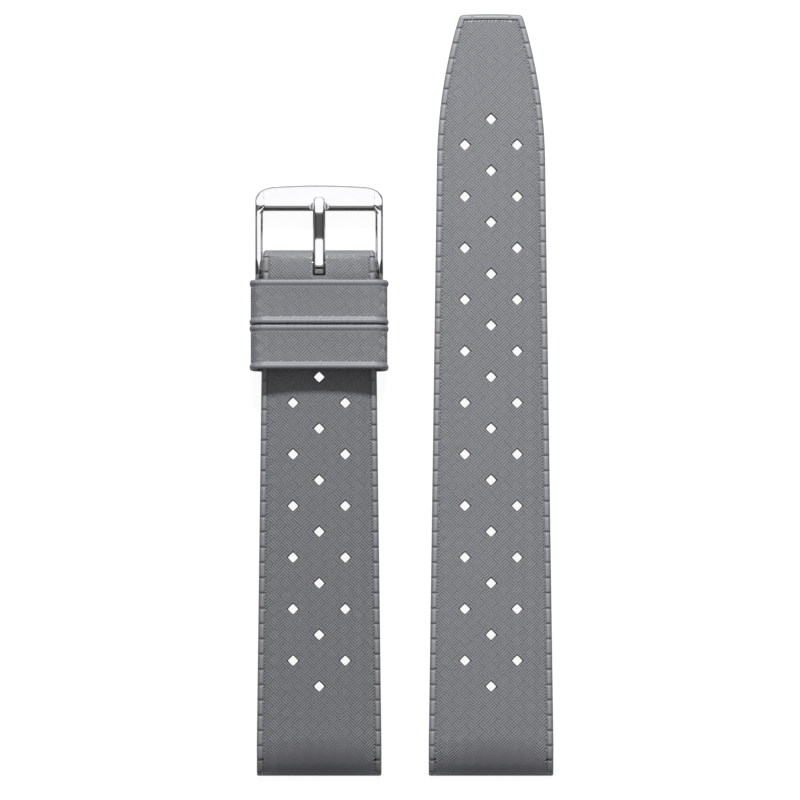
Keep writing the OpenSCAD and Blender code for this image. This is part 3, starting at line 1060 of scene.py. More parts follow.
@dataclass
class TailPiece(Strap):
    """The long strap, with its holes and its pointed tip."""

    piece: str = "long_strap_moulding"
    node: str = "long_strap"
    body: str = "tail"
    finish: SiliconeFinish = TAIL_SILICONE_LIT_COPY
    mid_x: float = 14.2217
    length: float = 121.0
    holes: int = 12
    tail_w: float = 17.2
    point_len: float = 23.5
    tip_w: float = 9.9
    tip_bow: float = 0.15
    tip_round: float = 0.5
    tip_t: float = 2.3
    tip_notch: float = 2.95
    settle_len: float = 45.0

    def front(self, e: Points) -> Points:
        """Height of the front face: level behind the eye, then easing down to the tip.

        Args:
            e: Distances from the lug end.

        Returns:
            The heights.
        """
        behind = self.lug_land + self.lug_ramp
        settled = ease(self.top, self.body_t, (e - behind) / (self.settle_len - behind))
        thin = np.clip((e - self.settle_len) / (self.length - self.settle_len), 0, 1)
        body = settled - (self.body_t - self.tip_t) * thin
        return np.where(e < behind, self.lug_front(e), body)

    def under(self, e: Points) -> Points:
        """Height of the underside: up behind the eye, then easing down onto the floor.

        Args:
            e: Distances from the lug end.

        Returns:
            The heights.
        """
        behind = self.lug_land + self.lug_ramp
        settled = ease(self.eye_drop, 0, (e - behind) / (self.settle_len - behind))
        return np.where(e < behind, self.lug_under(e), settled)

    def edge(self, e: Points) -> Points:
        """Half the width: parallel, tapering, then on an arc to the tip.

        Args:
            e: Distances from the lug end.

        Returns:
            Half the width at each of them.
        """
        start = self.length - self.point_len
        slope = math.atan((self.lug_w - self.tail_w) / 2 / (start - self.straight_len))
        back = (self.tip_w / 2 - self.tail_w / 2, self.point_len)
        inward = (-math.cos(slope), -math.sin(slope))
        radius = (back[0] ** 2 + back[1] ** 2) / (2 * (back[0] * inward[0] + back[1] * inward[1]))
        mid_x, mid_e = self.tail_w / 2 + radius * inward[0], start + radius * inward[1]
        lost = (self.lug_w - self.tail_w) * np.clip(e - self.straight_len, 0, None)
        taper = (self.lug_w - lost / (start - self.straight_len)) / 2
        arc = mid_x + np.sqrt(np.clip(radius**2 - (e - mid_e) ** 2, 0, None))
        return np.where(e < start, taper, arc)

    def half_width(self, e: Points) -> Points:
        """Half the width, with all four corners rounded."""
        return super().half_width(e) - rounding(self.length - e, self.tip_round)

    def end_distance(self, e: Points) -> Points:
        """Distance from the tip, along which a rail runs."""
        return self.length - e

    def end_rows(self) -> list[float]:
        """Rows across the rail at the tip."""
        beside_edge, on_panel = 0.015, 1.4
        inwards = [u for u, _ in self.rail_shape] + [beside_edge, on_panel]
        return [self.length - u for u in inwards]

    def channel_end(self) -> float:
        """The channels stop as far behind the last hole as they start before the first."""
        return self.first_hole + (self.holes - 1) * self.hole_pitch + self.first_hole / 2

    def carve_end(self, moulding: bpy.types.Object) -> None:
        """Cuts the two notches of the rail at the tip, and bows the tip outwards.

        Args:
            moulding: The strap.
        """
        radius, rail_fall, axis_above = 0.2, 0.07, 0.3
        notch_h = self.tip_t + self.crown_lift - rail_fall + axis_above * radius
        for side in Side:
            x = self.mid_x + side.value * self.tip_notch
            middle = (x, self.lug_y + self.length, notch_h)
            carve(moulding, rod(12, radius, 2.2, middle, Axis.Y))
        places = read_places(moulding) / MM
        x, e = places[:, 0] - self.mid_x, places[:, 1] - self.lug_y
        bow_len = 3
        near_tip = np.clip(1 - (self.length - e) / bow_len, 0, 1)
        places[:, 1] -= self.tip_bow * near_tip * (x / (self.tip_w / 2)) ** 2
        move_points(moulding, places)

    def may_weave(self, x: Points, s: Points) -> Points:
        """Where a rib may run: not past the rail at the tip.

        Args:
            x: Distances from the middle line.
            s: Distances along the front face.

        Returns:
            True where it may.
        """
        gap = 0.1
        room = self.length - self.rail_w - gap - self.tip_bow * (x / (self.tip_w / 2)) ** 2
        return super().may_weave(x, s) & (self.reach(s) < room)


@dataclass
class BucklePiece(Strap):
    """The short strap, with the slot and the eye that hold the buckle at its nose."""

    piece: str = "short_strap_moulding"
    node: str = "short_strap"
    body: str = "root"
    finish: SiliconeFinish = HEAD_SILICONE_PAINTED_SHADE
    mid_x: float = HEAD_X
    length: float = 83.5
    holes: int = 8
    nose_taper: float = 2.0
    nose_curve: float = 1.6
    nose_end_h: float = 2.6
    nose_under: float = 1.5
    nose_land: float = 3.6
    nose_ramp: float = 1.25
    nose_round: float = 0.6
    bar_setback: float = 2.2
    bar_h: float = BAR_H
    bore_r: float = 0.85
    slot_w: float = 2.1
    slot_back: float = 2.0
    slot_round: float = 0.35
    slot_flare: float = 0.1
    slot_foot_w: float = 1.99
    hub_reach: float = 1.77
    slot_border: float = 0.12
    plain_nose: float = 0.7
    plain_slot: float = 0.45
    channel_gap: float = 0.6
    # Painted highlight over the nose, which slopes towards the light
    nose_highlight_len: float = 4.6
    nose_highlight_fade: float = 1.4
    nose_highlight_share: float = 0.9

    def front(self, e: Points) -> Points:
        """Height of the front face: level, then round over the nose.

        Args:
            e: Distances from the lug end.

        Returns:
            The heights.
        """
        drop = self.top - self.nose_end_h
        radius = (self.nose_curve**2 + drop**2) / (2 * drop)
        past = np.clip(e - self.length + self.nose_curve, 0, self.nose_curve)
        return self.lug_front(e) - radius + np.sqrt(radius**2 - past**2)

    def under(self, e: Points) -> Points:
        """Height of the underside: raised between the two eyes.

        Args:
            e: Distances from the lug end.

        Returns:
            The heights.
        """
        away = self.length - e
        nose = ease(self.eye_drop, 0, (self.nose_land + self.nose_ramp - away) / self.nose_ramp)
        rounded = nose + rounding(away, self.nose_under)
        return np.where(away < self.length / 2, rounded, self.lug_under(e))

    def edge(self, e: Points) -> Points:
        """Half the width: parallel, then tapering to the nose."""
        past = np.clip(e - self.straight_len, 0, None) / (self.length - self.straight_len)
        return (self.lug_w - self.nose_taper * past) / 2

    def half_width(self, e: Points) -> Points:
        """Half the width, with all four corners rounded."""
        return super().half_width(e) - rounding(self.length - e, self.nose_round)

    def end_rows(self) -> list[float]:
        """Rows over the rounding of the nose, and where the underside turns."""
        turns = np.radians([12, 24, 36, 47, 57, 66, 74, 80])
        drop = self.top - self.nose_end_h
        radius = (self.nose_curve**2 + drop**2) / (2 * drop)
        over_nose = self.length - self.nose_curve + radius * np.sin(turns)
        return [float(v) for v in over_nose if v < self.length] + [self.length]

    def nose_highlight(self, e: Points) -> Points:
        """The nose slopes towards the light, so it gets a painted highlight."""
        along = (e - self.length + self.nose_highlight_len) / self.nose_highlight_fade
        return self.nose_highlight_share * ease(0, 1, along)

    def channel_end(self) -> float:
        """The channels stop at the slot."""
        return self.length - self.bar_setback - self.slot_back - self.channel_gap

    def carve_end(self, moulding: bpy.types.Object) -> None:
        """Cuts the eye for the buckle's bar and the slot that the tongue swings in.

        Args:
            moulding: The strap.
        """
        bar_e = self.length - self.bar_setback
        carve(moulding, self.pin_tool(bar_e, self.bar_h, self.bore_r))
        r, far = self.slot_round, self.length + 1
        turn = np.radians([0, 22.5, 45, 67.5, 90])
        draft_from, draft_to, flare_above, least_chord = 0.8, 3.1, 0.6, 1.0
        grid = []
        for z in (-1.0, 0.2, 0.5, 0.8, 1.1, 1.4, 1.75, 2.4, 3.1, 3.75, 3.88, 3.96, 5.0):
            flare = flare_above
            if z < self.top:
                flare = float(rounding(np.array(self.top - z), self.slot_flare + self.slot_border))
            half = np.interp(z, (draft_from, draft_to), (self.slot_foot_w / 2, self.slot_w / 2)) + flare
            chord = math.sqrt(max(self.hub_reach**2 - (z - self.bar_h) ** 2, least_chord))
            back = bar_e - np.interp(z, (self.bar_h, draft_to), (chord, self.slot_back)) - flare
            left = [(-half + r - r * math.cos(t), back + r - r * math.sin(t)) for t in turn]
            right = [(-x, e) for x, e in left[::-1]]
            grid.append([(x, e, z) for x, e in ((-half, far), *left, *right, (half, far))])
        carve(moulding, loft("slot_tool", np.array(grid) + (self.mid_x, self.lug_y, 0)))

    def may_weave(self, x: Points, s: Points) -> Points:
        """Where a rib may run: off the nose's smooth edge and the slot's smooth border.

        Args:
            x: Distances from the middle line.
            s: Distances along the front face.

        Returns:
            True where it may.
        """
        e = self.reach(s)
        back = self.length - self.bar_setback - self.slot_back - self.plain_slot
        beside_slot = (e > back) & (np.abs(x) < self.slot_w / 2 + self.slot_flare + self.slot_border)
        return super().may_weave(x, s) & (e < self.length - self.plain_nose) & ~beside_slot


# The keepers


@dataclass
class Keeper:
    """A moulded loop that leans a little, with a corded rim at each end and woven in between."""

    piece: str
    node: str
    body: str
    start_e: float
    weave_shift: float
    finish: SiliconeFinish = KEEPER_SILICONE_PAINTED_SHADE
    mid_x: float = HEAD_X
    lug_y: float = LUG_Y
    length: float = 6.95
    outer_w: float = 21.647
    inner_w: float = 19.387
    low: float = 0.22
    floor: float = 1.05
    roof: float = 7.1
    top: float = 8.1
    outer_round: float = 2.0
    inner_round: float = 0.3
    panel_depth: float = 0.12
    tick_pitch: float = 1.07
    tick_depth: float = 0.1
    tick_from: float = 0.05
    lean: float = 0.07
    reach: float = 1.14
    seam_gap: float = 0.3
    mouth_len: float = 0.2
    mouth_share: float = 0.25
    # Width and fade of the painted highlight on the rims at both ends
    painted_highlight_w: float = 0.65
    painted_highlight_fade: float = 0.25
    crease: float = 50.0
    weave: Weave = field(default_factory=Weave)

    # Distance from an end and height above the plain outer face, over the rim to the panel
    rim_shape: tuple[tuple[float, float], ...] = (
        (0.0, -0.32),
        (0.04, -0.06),
        (0.12, 0.1),
        (0.26, 0.19),
        (0.45, 0.215),
        (0.62, 0.18),
        (0.76, 0.07),
        (0.9, -0.07),
        (1.06, -0.12),
    )

    def outline(self, w: float, low: float, high: float, r: float, t: Points) -> tuple[Points, Points]:
        """Places round a rounded rectangle.

        Args:
            w: Its width.
            low: Height of its lower side.
            high: Height of its upper side.
            r: Radius of its corners.
            t: Places round it, in quarters from the middle of the upper side to the right.

        Returns:
            Places across and heights.
        """
        half_w, half_h, mid = w / 2, (high - low) / 2, (high + low) / 2
        straight_w, straight_h = half_w - r, half_h - r
        # Each half side takes 0.4 of a quarter, and each corner 0.2
        quarter = np.floor(t) % 4
        part = t - np.floor(t)
        run = np.clip(part / 0.4, 0, 1)
        bend = np.clip((part - 0.4) / 0.2, 0, 1) * np.pi / 2
        rest = np.clip((part - 0.6) / 0.4, 0, 1)
        level = quarter % 2 == 0
        first = np.where(level, straight_w, straight_h)
        second = np.where(level, straight_h, straight_w)
        a = run * first + r * np.sin(bend)
        b = second * (1 - rest) + r * np.cos(bend)
        x = np.select([quarter == 0, quarter == 1, quarter == 2], [a, b, -a], -b)
        z = np.select([quarter == 0, quarter == 1, quarter == 2], [b, -a, -b], a)
        return x, z + mid

    def round_loop(self, t: Points, h: Points) -> tuple[Points, Points]:
        """Places at a height above or below the plain outer face of the loop.

        Args:
            t: Places round the loop, in quarters.
            h: Heights above that face.

        Returns:
            Places across and heights.
        """
        ox, oz = self.outline(self.outer_w, self.low, self.top, self.outer_round, t)
        ix, iz = self.outline(self.inner_w, self.floor, self.roof, self.inner_round, t)
        size = np.hypot(ox - ix, oz - iz)
        return ox + (ox - ix) / size * h, oz + (oz - iz) / size * h

    def seat(self, x: Points, y: Points, z: Points) -> Points:
        """Puts places of the loop where it sits on the strap, leaning towards the buckle."""
        leaning = y + self.lean * (z - (self.low + self.top) / 2)
        return np.stack([x + self.mid_x, leaning + self.start_e + self.lug_y, z], -1)

    def stations(self) -> Points:
        """Places round the loop at which it has points, close enough together for the ticks."""
        fine = np.linspace(0, 4, 2400, endpoint=False)
        x, z = self.outline(self.outer_w, self.low, self.top, self.outer_round, fine)
        way = np.append(0, np.cumsum(np.hypot(np.diff(x, append=x[0]), np.diff(z, append=z[0]))))
        count = 4 * round(way[-1] / self.tick_pitch)
        return np.interp(np.linspace(0, way[-1], count + 1), way, np.append(fine, 4.0))

    def skin(self) -> bpy.types.Object:
        """Models the loop by carrying its wall's section once round it.

        Returns:
            The closed loop.
        """
        t = self.stations()
        rims = list(self.rim_shape)
        outer = rims + [(self.length - y, h) for y, h in rims[::-1]]
        tick = np.where(np.arange(len(t)) % 4 == 0, self.tick_depth, 0)
        ring = []
        for y, h in outer:
            ticked = h > self.tick_from
            x, z = self.round_loop(t, h - tick * ticked)
            ring.append(self.seat(x, np.full(len(t), y), z))
        ix, iz = self.outline(self.inner_w, self.floor, self.roof, self.inner_round, t)
        ox, oz = self.outline(self.outer_w, self.low, self.top, self.outer_round, t)
        inner = (
            (self.length, self.mouth_share),
            (self.length - self.mouth_len, 0.0),
            (self.length / 2, 0.0),
            (self.mouth_len, 0.0),
            (0.0, self.mouth_share),
        )
        for y, share in inner:
            ring.append(self.seat(ix + (ox - ix) * share, np.full(len(t), y), iz + (oz - iz) * share))
        grid = np.array(ring).transpose(1, 0, 2)
        return loft(self.piece, grid, closed=True)

    def cover(self) -> bpy.types.Object:
        """Lays the woven relief round the loop.

        Returns:
            The ribs as one mesh.
        """
        fine = np.linspace(-2, 2, 2401)
        x, z = self.outline(self.outer_w, self.low, self.top, self.outer_round, fine)
        way = np.append(0, np.cumsum(np.hypot(np.diff(x), np.diff(z))))
        way -= way[len(way) // 2]

        def on_loop(x: Points, y: Points, h: Points) -> Points:
            """Places of points round and along the loop, above its panel.

            Args:
                x: Distances round the loop from the middle of its upper side.
                y: Distances along the strap.
                h: Heights above the loop's panel.

            Returns:
                Their coordinates in millimetres.
            """
            t = np.interp(x, way, fine)
            across, up = self.round_loop(t, h - self.panel_depth)
            return self.seat(across, y + self.weave_shift, up)

        return self.weave.cover(
            self.piece + "_weave",
            (way[-1], -self.weave_shift, self.length - self.weave_shift),
            lambda x, y: (y + self.weave_shift > self.reach)
            & (y + self.weave_shift < self.length - self.reach)
            & (np.abs(x) < way[-1] - self.seam_gap),
            on_loop,
        )

    def build(self) -> bpy.types.Object:
        """Builds the keeper in place of its CAD node.

        Returns:
            The finished piece.
        """
        loop = self.skin()
        smooth(loop, self.crease)
        places = read_places(loop) / MM
        y = places[:, 1] - self.start_e - self.lug_y
        y -= self.lean * (places[:, 2] - (self.low + self.top) / 2)
        from_end = np.minimum(y, self.length - y)
        # Painted highlight on the corded rims at both ends, where the light catches them
        mark_painted_highlight(loop, ease(1, 0, (from_end - self.painted_highlight_w) / self.painted_highlight_fade))
        join(loop, self.cover())
        self.finish.dress(loop)
        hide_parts(self.node)
        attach(loop, self.body)
        return loop


# The buckle


@dataclass
class BuckleFrame:
    """The polished frame: a domed front plate whose ends step down onto two arms."""

    piece: str = "buckle_frame_polished"
    node: str = "buckle_frame"
    body: str = "frame"
    finish: SteelFinish = POLISHED_STEEL
    mid_x: float = HEAD_X
    bar_y: float = BAR_Y
    bar_h: float = BAR_H
    hub_r: float = HUB_R
    arm_in: float = 8.95
    arm_w: float = 1.2
    arm_tail: float = 2.5
    arm_bow: float = 0.15
    lift: float = 0.05
    reach: float = 12.5
    bow: float = 0.25
    plate_len: float = 4.1
    crest_h: float = 4.05
    plate_t: float = 1.5
    dome: float = 0.11
    corner_x: float = 3.2
    corner_y: float = 2.2
    window_round: float = 0.4
    groove_depth: float = 0.63
    groove_r: float = 2.6
    groove_lip: float = 0.12
    socket_r: float = 0.45
    socket_depth: float = 0.85
    end_fall: float = 0.75
    end_from: float = 8.0
    end_len: float = 2.15
    edge_round: float = 0.2
    foot_round: float = 0.16
    full_w: float = 2.6
    full_t: float = 1.5
    step_from: float = 8.7
    step_w: float = 0.27
    crease: float = 32.0

    # Distance from the plate's inner foot and depth below its crest, over the two-faced inner edge
    inner_edge: tuple[tuple[float, float], ...] = (
        (0.0, 0.46),
        (0.05, 0.34),
        (0.42, 0.09),
        (0.84, 0.005),
        (1.0, 0.0),
    )
    # Distance inwards from an arm's side and depth below its flat top
    arm_flank: tuple[tuple[float, float], ...] = (
        (0.0, 0.38),
        (0.04, 0.28),
        (0.29, 0.025),
        (0.36, 0.0),
    )
    # Where the two steps beside the terrace start, and how fast they come nearer the bar outwards
    step_lines: tuple[tuple[float, float], ...] = ((9.55, 0.93), (9.06, 1.36))
    # Steps in millimetres inwards from both boundaries, where the faces across are narrow
    near_inner: tuple[float, ...] = (0.0, 0.05, 0.12, 0.22, 0.32, 0.42, 0.52, 0.62, 0.73, 0.84, 1.0)
    near_outer: tuple[float, ...] = (0.6, 0.46, 0.34, 0.24, 0.16, 0.08, 0.03, 0.0)
    shares_between: tuple[float, ...] = (0.12, 0.25, 0.38, 0.51, 0.64, 0.77, 0.89)

    @property
    def foot(self) -> float:
        """Distance of the plate's inner foot from the bar."""
        return self.reach - self.plate_len

    def outer(self, x: Points) -> Points:
        """Distance from the bar of the frame's outer edge, beside its middle.

        Args:
            x: Distances from the middle line.

        Returns:
            The edge's distance from the bar at each of them.
        """
        side, shoulder = self.arm_in + self.arm_w, self.reach - self.bow
        flat = side - self.corner_x
        straight = shoulder + self.bow * (1 - np.clip(np.abs(x) / flat, 0, 1) ** 2)
        past = np.clip((np.abs(x) - flat) / self.corner_x, 0, 1)
        corner = shoulder - self.corner_y + self.corner_y * np.sqrt(1 - past**2)
        return np.where(np.abs(x) < flat, straight, corner)

    def arm_heights(self, y: Points) -> tuple[Points, Points]:
        """Heights of an arm's underside and top at distances from the bar.

        Args:
            y: Distances from the bar.

        Returns:
            The underside's heights and the top's.
        """
        hub_y, root = self.hub_r - self.arm_tail, self.reach - self.corner_y
        half = np.sqrt(np.clip(self.hub_r**2 - np.clip(hub_y - y, 0, None) ** 2, 1e-6, None))
        part = np.clip((y - hub_y) / (root - hub_y), 0, 1)
        swell = 4 * part * (1 - part)
        low = self.lift + part * (self.plate_t / 2 - self.lift) + self.arm_bow * swell
        rise = self.crest_h - self.plate_t / 2 - self.bar_h - self.hub_r
        high = self.bar_h + self.hub_r + part * rise + 2 * self.arm_bow * swell
        back = y < hub_y
        return np.where(back, self.bar_h - half, low), np.where(back, self.bar_h + half, high)

    def plate_top(self, x: Points, y: Points, r: Points, from_edge: Points) -> Points:
        """Height of the plate's front: the inner edge, the crest and the domed slope.

        Args:
            x: Distances from the middle line.
            y: Distances from the bar.
            r: Distances from the inner boundary.
            from_edge: Distances from the outer boundary.

        Returns:
            The heights.
        """
        crest_y = self.foot + self.inner_edge[-1][0]
        part = np.clip((y - crest_y) / (self.reach - crest_y), 0, 1)
        slope = self.crest_h + (self.plate_t - self.crest_h) * part + self.dome * 4 * part * (1 - part)
        edge_r, edge_depth = np.array(self.inner_edge).T
        inner = np.interp(r, edge_r, edge_depth)
        ends = self.end_fall * np.clip((np.abs(x) - self.end_from) / self.end_len, 0, 1) ** 2
        return slope - inner - ends - rounding(from_edge, self.edge_round)

    def step(self, x: Points, y: Points) -> Points:
        """How much of the plate's height stands over the arm: all, a narrow terrace, or none.

        Args:
            x: Distances from the middle line.
            y: Distances from the bar.

        Returns:
            Shares from 0 on the arm to 1 on the plate.
        """
        past = np.clip(np.abs(x) - self.step_from, 0, None)
        shares = 0
        for start, slope in self.step_lines:
            shares = shares + np.clip((y - (start - slope * past)) / self.step_w + 1, 0, 1)
        return 0.5 * shares

    def groove(self, x: Points, z: Points) -> Points:
        """Heights of the front with the tongue's bed sunk into it.

        Args:
            x: Distances from the middle line.
            z: Heights without the bed.

        Returns:
            The heights.
        """
        rest = np.clip(self.groove_r**2 - x**2, 0.01, None)
        bed = self.crest_h - self.groove_depth + self.groove_r - np.sqrt(rest)
        bed = np.where(np.abs(x) < self.groove_r * 0.95, bed, 99.0)
        gap = np.clip(self.groove_lip - np.abs(z - bed), 0, None)
        return np.minimum(z, bed) - gap**2 / (4 * self.groove_lip)

    def station(self, start: Points, way: Points, w: float, turn: float) -> Points:
        """One ring of points round the frame's bar of metal.

        Args:
            start: Place on the inner boundary.
            way: Direction from there to the outer boundary.
            w: Distance between the boundaries.
            turn: 0 on an arm, 1 on the plate, and in between round the corner.

        Returns:
            The ring's places, measured from the bar's middle.
        """
        scale = min(1.0, w / self.full_w)
        inner, outer = np.array(self.near_inner) * scale, w - np.array(self.near_outer) * scale
        between = inner[-1] + (outer[0] - inner[-1]) * np.array(self.shares_between)
        r = np.concatenate([inner, between, outer])
        x, y = start[0] + way[0] * r, start[1] + way[1] * r
        low, high = self.arm_heights(y)
        flank_r, flank_depth = np.array(self.arm_flank).T
        # Beside the hinge the arm's edges are rounder than along its window
        eye_from, eye_len, eye_widest, eye_gain = 0.6, 1.6, 1.2, 1.1
        widen = 1 + eye_gain * np.clip((eye_from - y) / eye_len, 0, eye_widest) * (1 - turn)
        side = np.minimum(r, w - r) / widen
        thin = np.clip((high - low) / self.full_t, 0, 1)
        arm = high - np.interp(side, flank_r, flank_depth) * thin
        plate = self.plate_top(x, y, r, w - r)
        share = self.step(x, y)
        top = arm + (np.maximum(plate, arm) - arm) * share
        top = np.where(turn > 0.99, plate, top)
        top = self.groove(x, top)

        foot_h = self.crest_h - self.plate_t
        below_r = np.array([w - 0.03, w - 0.16, 0.75 * w, 0.5 * w, 0.25 * w, 0.12, 0.02])
        under_x, under_y = start[0] + way[0] * below_r, start[1] + way[1] * below_r
        under_arm = self.arm_heights(under_y)[0]
        under_plate = np.maximum(foot_h - below_r * (foot_h - self.lift) / self.full_w, self.lift)
        under = under_arm + (under_plate - under_arm) * turn
        round_r = np.minimum(below_r, w - below_r)
        thin = np.clip((top[0] - under) / self.full_t, 0, 1)
        under = under + rounding(round_r, self.foot_round) * thin
        walls = [(x[-1], y[-1], (top[-1] + under[0]) / 2), (x[0], y[0], (top[0] + under[-1]) / 2)]
        front = np.column_stack([x, y, top])
        back = np.column_stack([under_x, under_y, under])
        return np.concatenate([front, walls[:1], back, walls[1:]])

    def half_grid(self) -> Points:
        """Places of the right half, from the end of its arm to the middle of the plate.

        Returns:
            Stations by ring points by coordinates, measured from the bar's middle.
        """
        pivot = np.array((self.arm_in - self.window_round, self.foot - self.window_round))
        hub_y = self.hub_r - self.arm_tail
        turns = np.radians((2, 8, 16, 25, 34, 44, 54, 64, 76, 88))
        arm = np.concatenate([hub_y - self.hub_r * np.cos(turns), np.linspace(-0.6, 6.4, 30)])
        arm = np.concatenate([arm, np.linspace(6.5, pivot[1] - 0.04, 28)])
        stations = [self.station(np.array((self.arm_in, y)), np.array((1, 0)), self.arm_w, 0.0) for y in arm]
        for turn in np.radians(np.linspace(0, 90, 46)):
            way = np.array((math.cos(turn), math.sin(turn)))
            w = self.distance_out(pivot, way) - self.window_round
            share = float(ease(0, 1, np.array(turn / math.pi * 2)))
            stations.append(self.station(pivot + self.window_round * way, way, w, share))
        across = np.concatenate([np.linspace(pivot[0] - 0.1, 2.6, 30), np.linspace(2.5, 0.05, 34)])
        for x in across:
            w = float(self.outer(np.array(x))) - self.foot
            stations.append(self.station(np.array((x, self.foot)), np.array((0, 1)), w, 1.0))
        return np.array(stations)

    def distance_out(self, pivot: Points, way: Points) -> float:
        """How far the outer edge is from the window corner's middle, in one direction.

        Args:
            pivot: Middle of the window corner's rounding.
            way: A direction from there.

        Returns:
            The distance in millimetres.
        """
        far = np.linspace(0.5, 6, 5501)
        x, y = pivot[0] + far * way[0], pivot[1] + far * way[1]
        inside = (x < self.arm_in + self.arm_w) & (y < self.outer(x))
        return float(far[inside][-1])

    def build(self) -> bpy.types.Object:
        """Builds the frame in place of its CAD node.

        Returns:
            The finished piece.
        """
        right = self.half_grid()
        left = right[::-1] * (-1, 1, 1)
        grid = np.concatenate([right, left]) + (self.mid_x, self.bar_y, 0)
        piece = loft(self.piece, grid)
        for side in Side:
            middle = (self.mid_x + side.value * self.arm_in, self.bar_y, self.bar_h)
            carve(piece, rod(32, self.socket_r, 2 * self.socket_depth, middle, Axis.X))
        smooth(piece, self.crease)
        self.finish.dress(piece)
        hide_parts(self.node)
        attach(piece, self.body)
        return piece


@dataclass
class BuckleTongue:
    """The polished tongue: a strip that curls round the bar, rises and ends in a round point."""

    piece: str = "buckle_tongue_polished"
    node: str = "buckle_tongue"
    body: str = "tongue"
    finish: SteelFinish = POLISHED_STEEL
    mid_x: float = HEAD_X
    bar_y: float = BAR_Y
    bar_h: float = BAR_H
    hub_r: float = HUB_R
    bore_r: float = 0.8
    width: float = 1.95
    shank_t: float = 1.1
    flat: float = 3.8
    foot: float = 8.4
    crest: float = 9.4
    reach: float = 10.6
    bed: float = 3.598
    crest_t: float = 0.95
    tip_h: float = 3.448
    tip_t: float = 0.6
    tip_round: float = 0.75
    curl_end: float = -38.0
    crease: float = 40.0
    # Share of the half width and share of the thickness below the top, from the middle outwards
    section: tuple[tuple[float, float], ...] = (
        (0.0, 0.0),
        (0.35, 0.008),
        (0.55, 0.03),
        (0.7, 0.08),
        (0.81, 0.17),
        (0.9, 0.3),
        (0.97, 0.46),
        (1.0, 0.62),
        (1.0, 0.74),
        (1.0, 0.87),
        (0.94, 0.98),
        (0.5, 1.0),
        (0.0, 1.0),
    )

    def climb(self, y: Points) -> Points:
        """Share of the tongue's climb from its level start to its tip, straight between bends.

        Args:
            y: Distances from the bar.

        Returns:
            Shares from 0 to 1.
        """
        lead, bend = 0.1, 0.1
        t = np.clip((y - self.flat + lead) / (self.foot - self.flat + lead), 0, 1)
        low, high = np.minimum(t, bend), np.clip(t - 1 + bend, 0, bend)
        straight = np.clip(t, bend, 1 - bend) - bend
        return (low**2 / (2 * bend) + straight + high - high**2 / (2 * bend)) / (1 - bend)

    def lower(self, y: Points) -> Points:
        """Height of the tongue's underside ahead of the bar.

        Args:
            y: Distances from the bar.

        Returns:
            The heights.
        """
        start = self.bar_h + self.hub_r - self.shank_t
        fall = ease(0, self.bed - self.tip_h, (y - self.crest) / (self.reach - self.crest))
        return start + (self.bed - start) * self.climb(y) - fall

    def upper(self, y: Points) -> Points:
        """Height of the tongue's top ahead of the bar.

        Args:
            y: Distances from the bar.

        Returns:
            The heights.
        """
        start, top = self.bar_h + self.hub_r, self.bed + self.crest_t
        lead, run_out = 0.3, 0.9
        along = (y - self.crest + lead) / (self.reach - self.crest + run_out)
        return start + (top - start) * self.climb(y) - ease(0, top - self.tip_h - self.tip_t, along)

    def build(self) -> bpy.types.Object:
        """Builds the tongue in place of its CAD node.

        Returns:
            The finished piece.
        """
        curl = np.radians(np.linspace(self.curl_end, -270, 26))
        stations = []
        for turn in curl:
            way = np.array((math.cos(turn), math.sin(turn)))
            outer, inner = way * self.hub_r, way * self.bore_r
            stations.append((outer, inner, self.width))
        throat_y, throat_t, tip_narrows, tip_thins = 1.6, 0.9, 0.9, 0.32
        round_tip = (9.75, 10.0, 10.2, 10.36, 10.48, 10.56, 10.6)
        for y in np.concatenate([np.linspace(0.35, 9.5, 40), round_tip]):
            high = float(self.upper(np.array(y))) - self.bar_h
            low = float(self.lower(np.array(y))) - self.bar_h
            if y < throat_y:
                low = max(low, math.sqrt(max(0.0, (self.hub_r - throat_t) ** 2 - y**2)))
            back = float(rounding(np.array(self.reach - y), self.tip_round))
            wide = self.width - 2 * back * tip_narrows
            thin = back / self.tip_round * (high - low) * tip_thins
            stations.append((np.array((y, high - thin)), np.array((y, low + thin)), wide))
        grid = []
        for outer, inner, wide in stations:
            ring = []
            for x, depth in self.across(wide):
                place = outer + (inner - outer) * depth
                ring.append((x + self.mid_x, place[0] + self.bar_y, place[1] + self.bar_h))
            grid.append(ring)
        piece = loft(self.piece, np.array(grid))
        take(piece)
        finer = piece.modifiers.new("finer", "SUBSURF")
        finer.levels = finer.render_levels = 2
        bpy.ops.object.modifier_apply(modifier=finer.name)
        smooth(piece, self.crease)
        self.finish.dress(piece)
        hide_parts(self.node)
        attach(piece, self.body)
        return piece

    def across(self, wide: float) -> list[tuple[float, float]]:
        """The strip's section: flat below, with broad round edges on top.

        Args:
            wide: Its width.

        Returns:
            Places across it, and shares of its thickness below its top.
        """
        half = wide / 2
        right = [(half * across, depth) for across, depth in self.section]
        left = [(-across, depth) for across, depth in right[-2:0:-1]]
        return right + left


@dataclass
class SpringBar:
    """The bar inside the nose: turned steel, seen through the slot and beside the arms."""

    nodes: tuple[str, ...] = (
        "spring_bar_tube",
        "spring_bar_tip_left",
        "spring_bar_tip_right",
        "spring_bar_spring",
    )
    finish: SteelFinish = BAR_STEEL

    def dress(self) -> None:
        """Gives the CAD nodes of the bar their finish."""
        for name in self.nodes:
            self.finish.dress(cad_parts[name])
            log.info("%s: CAD node, turned steel", name)


# The studio


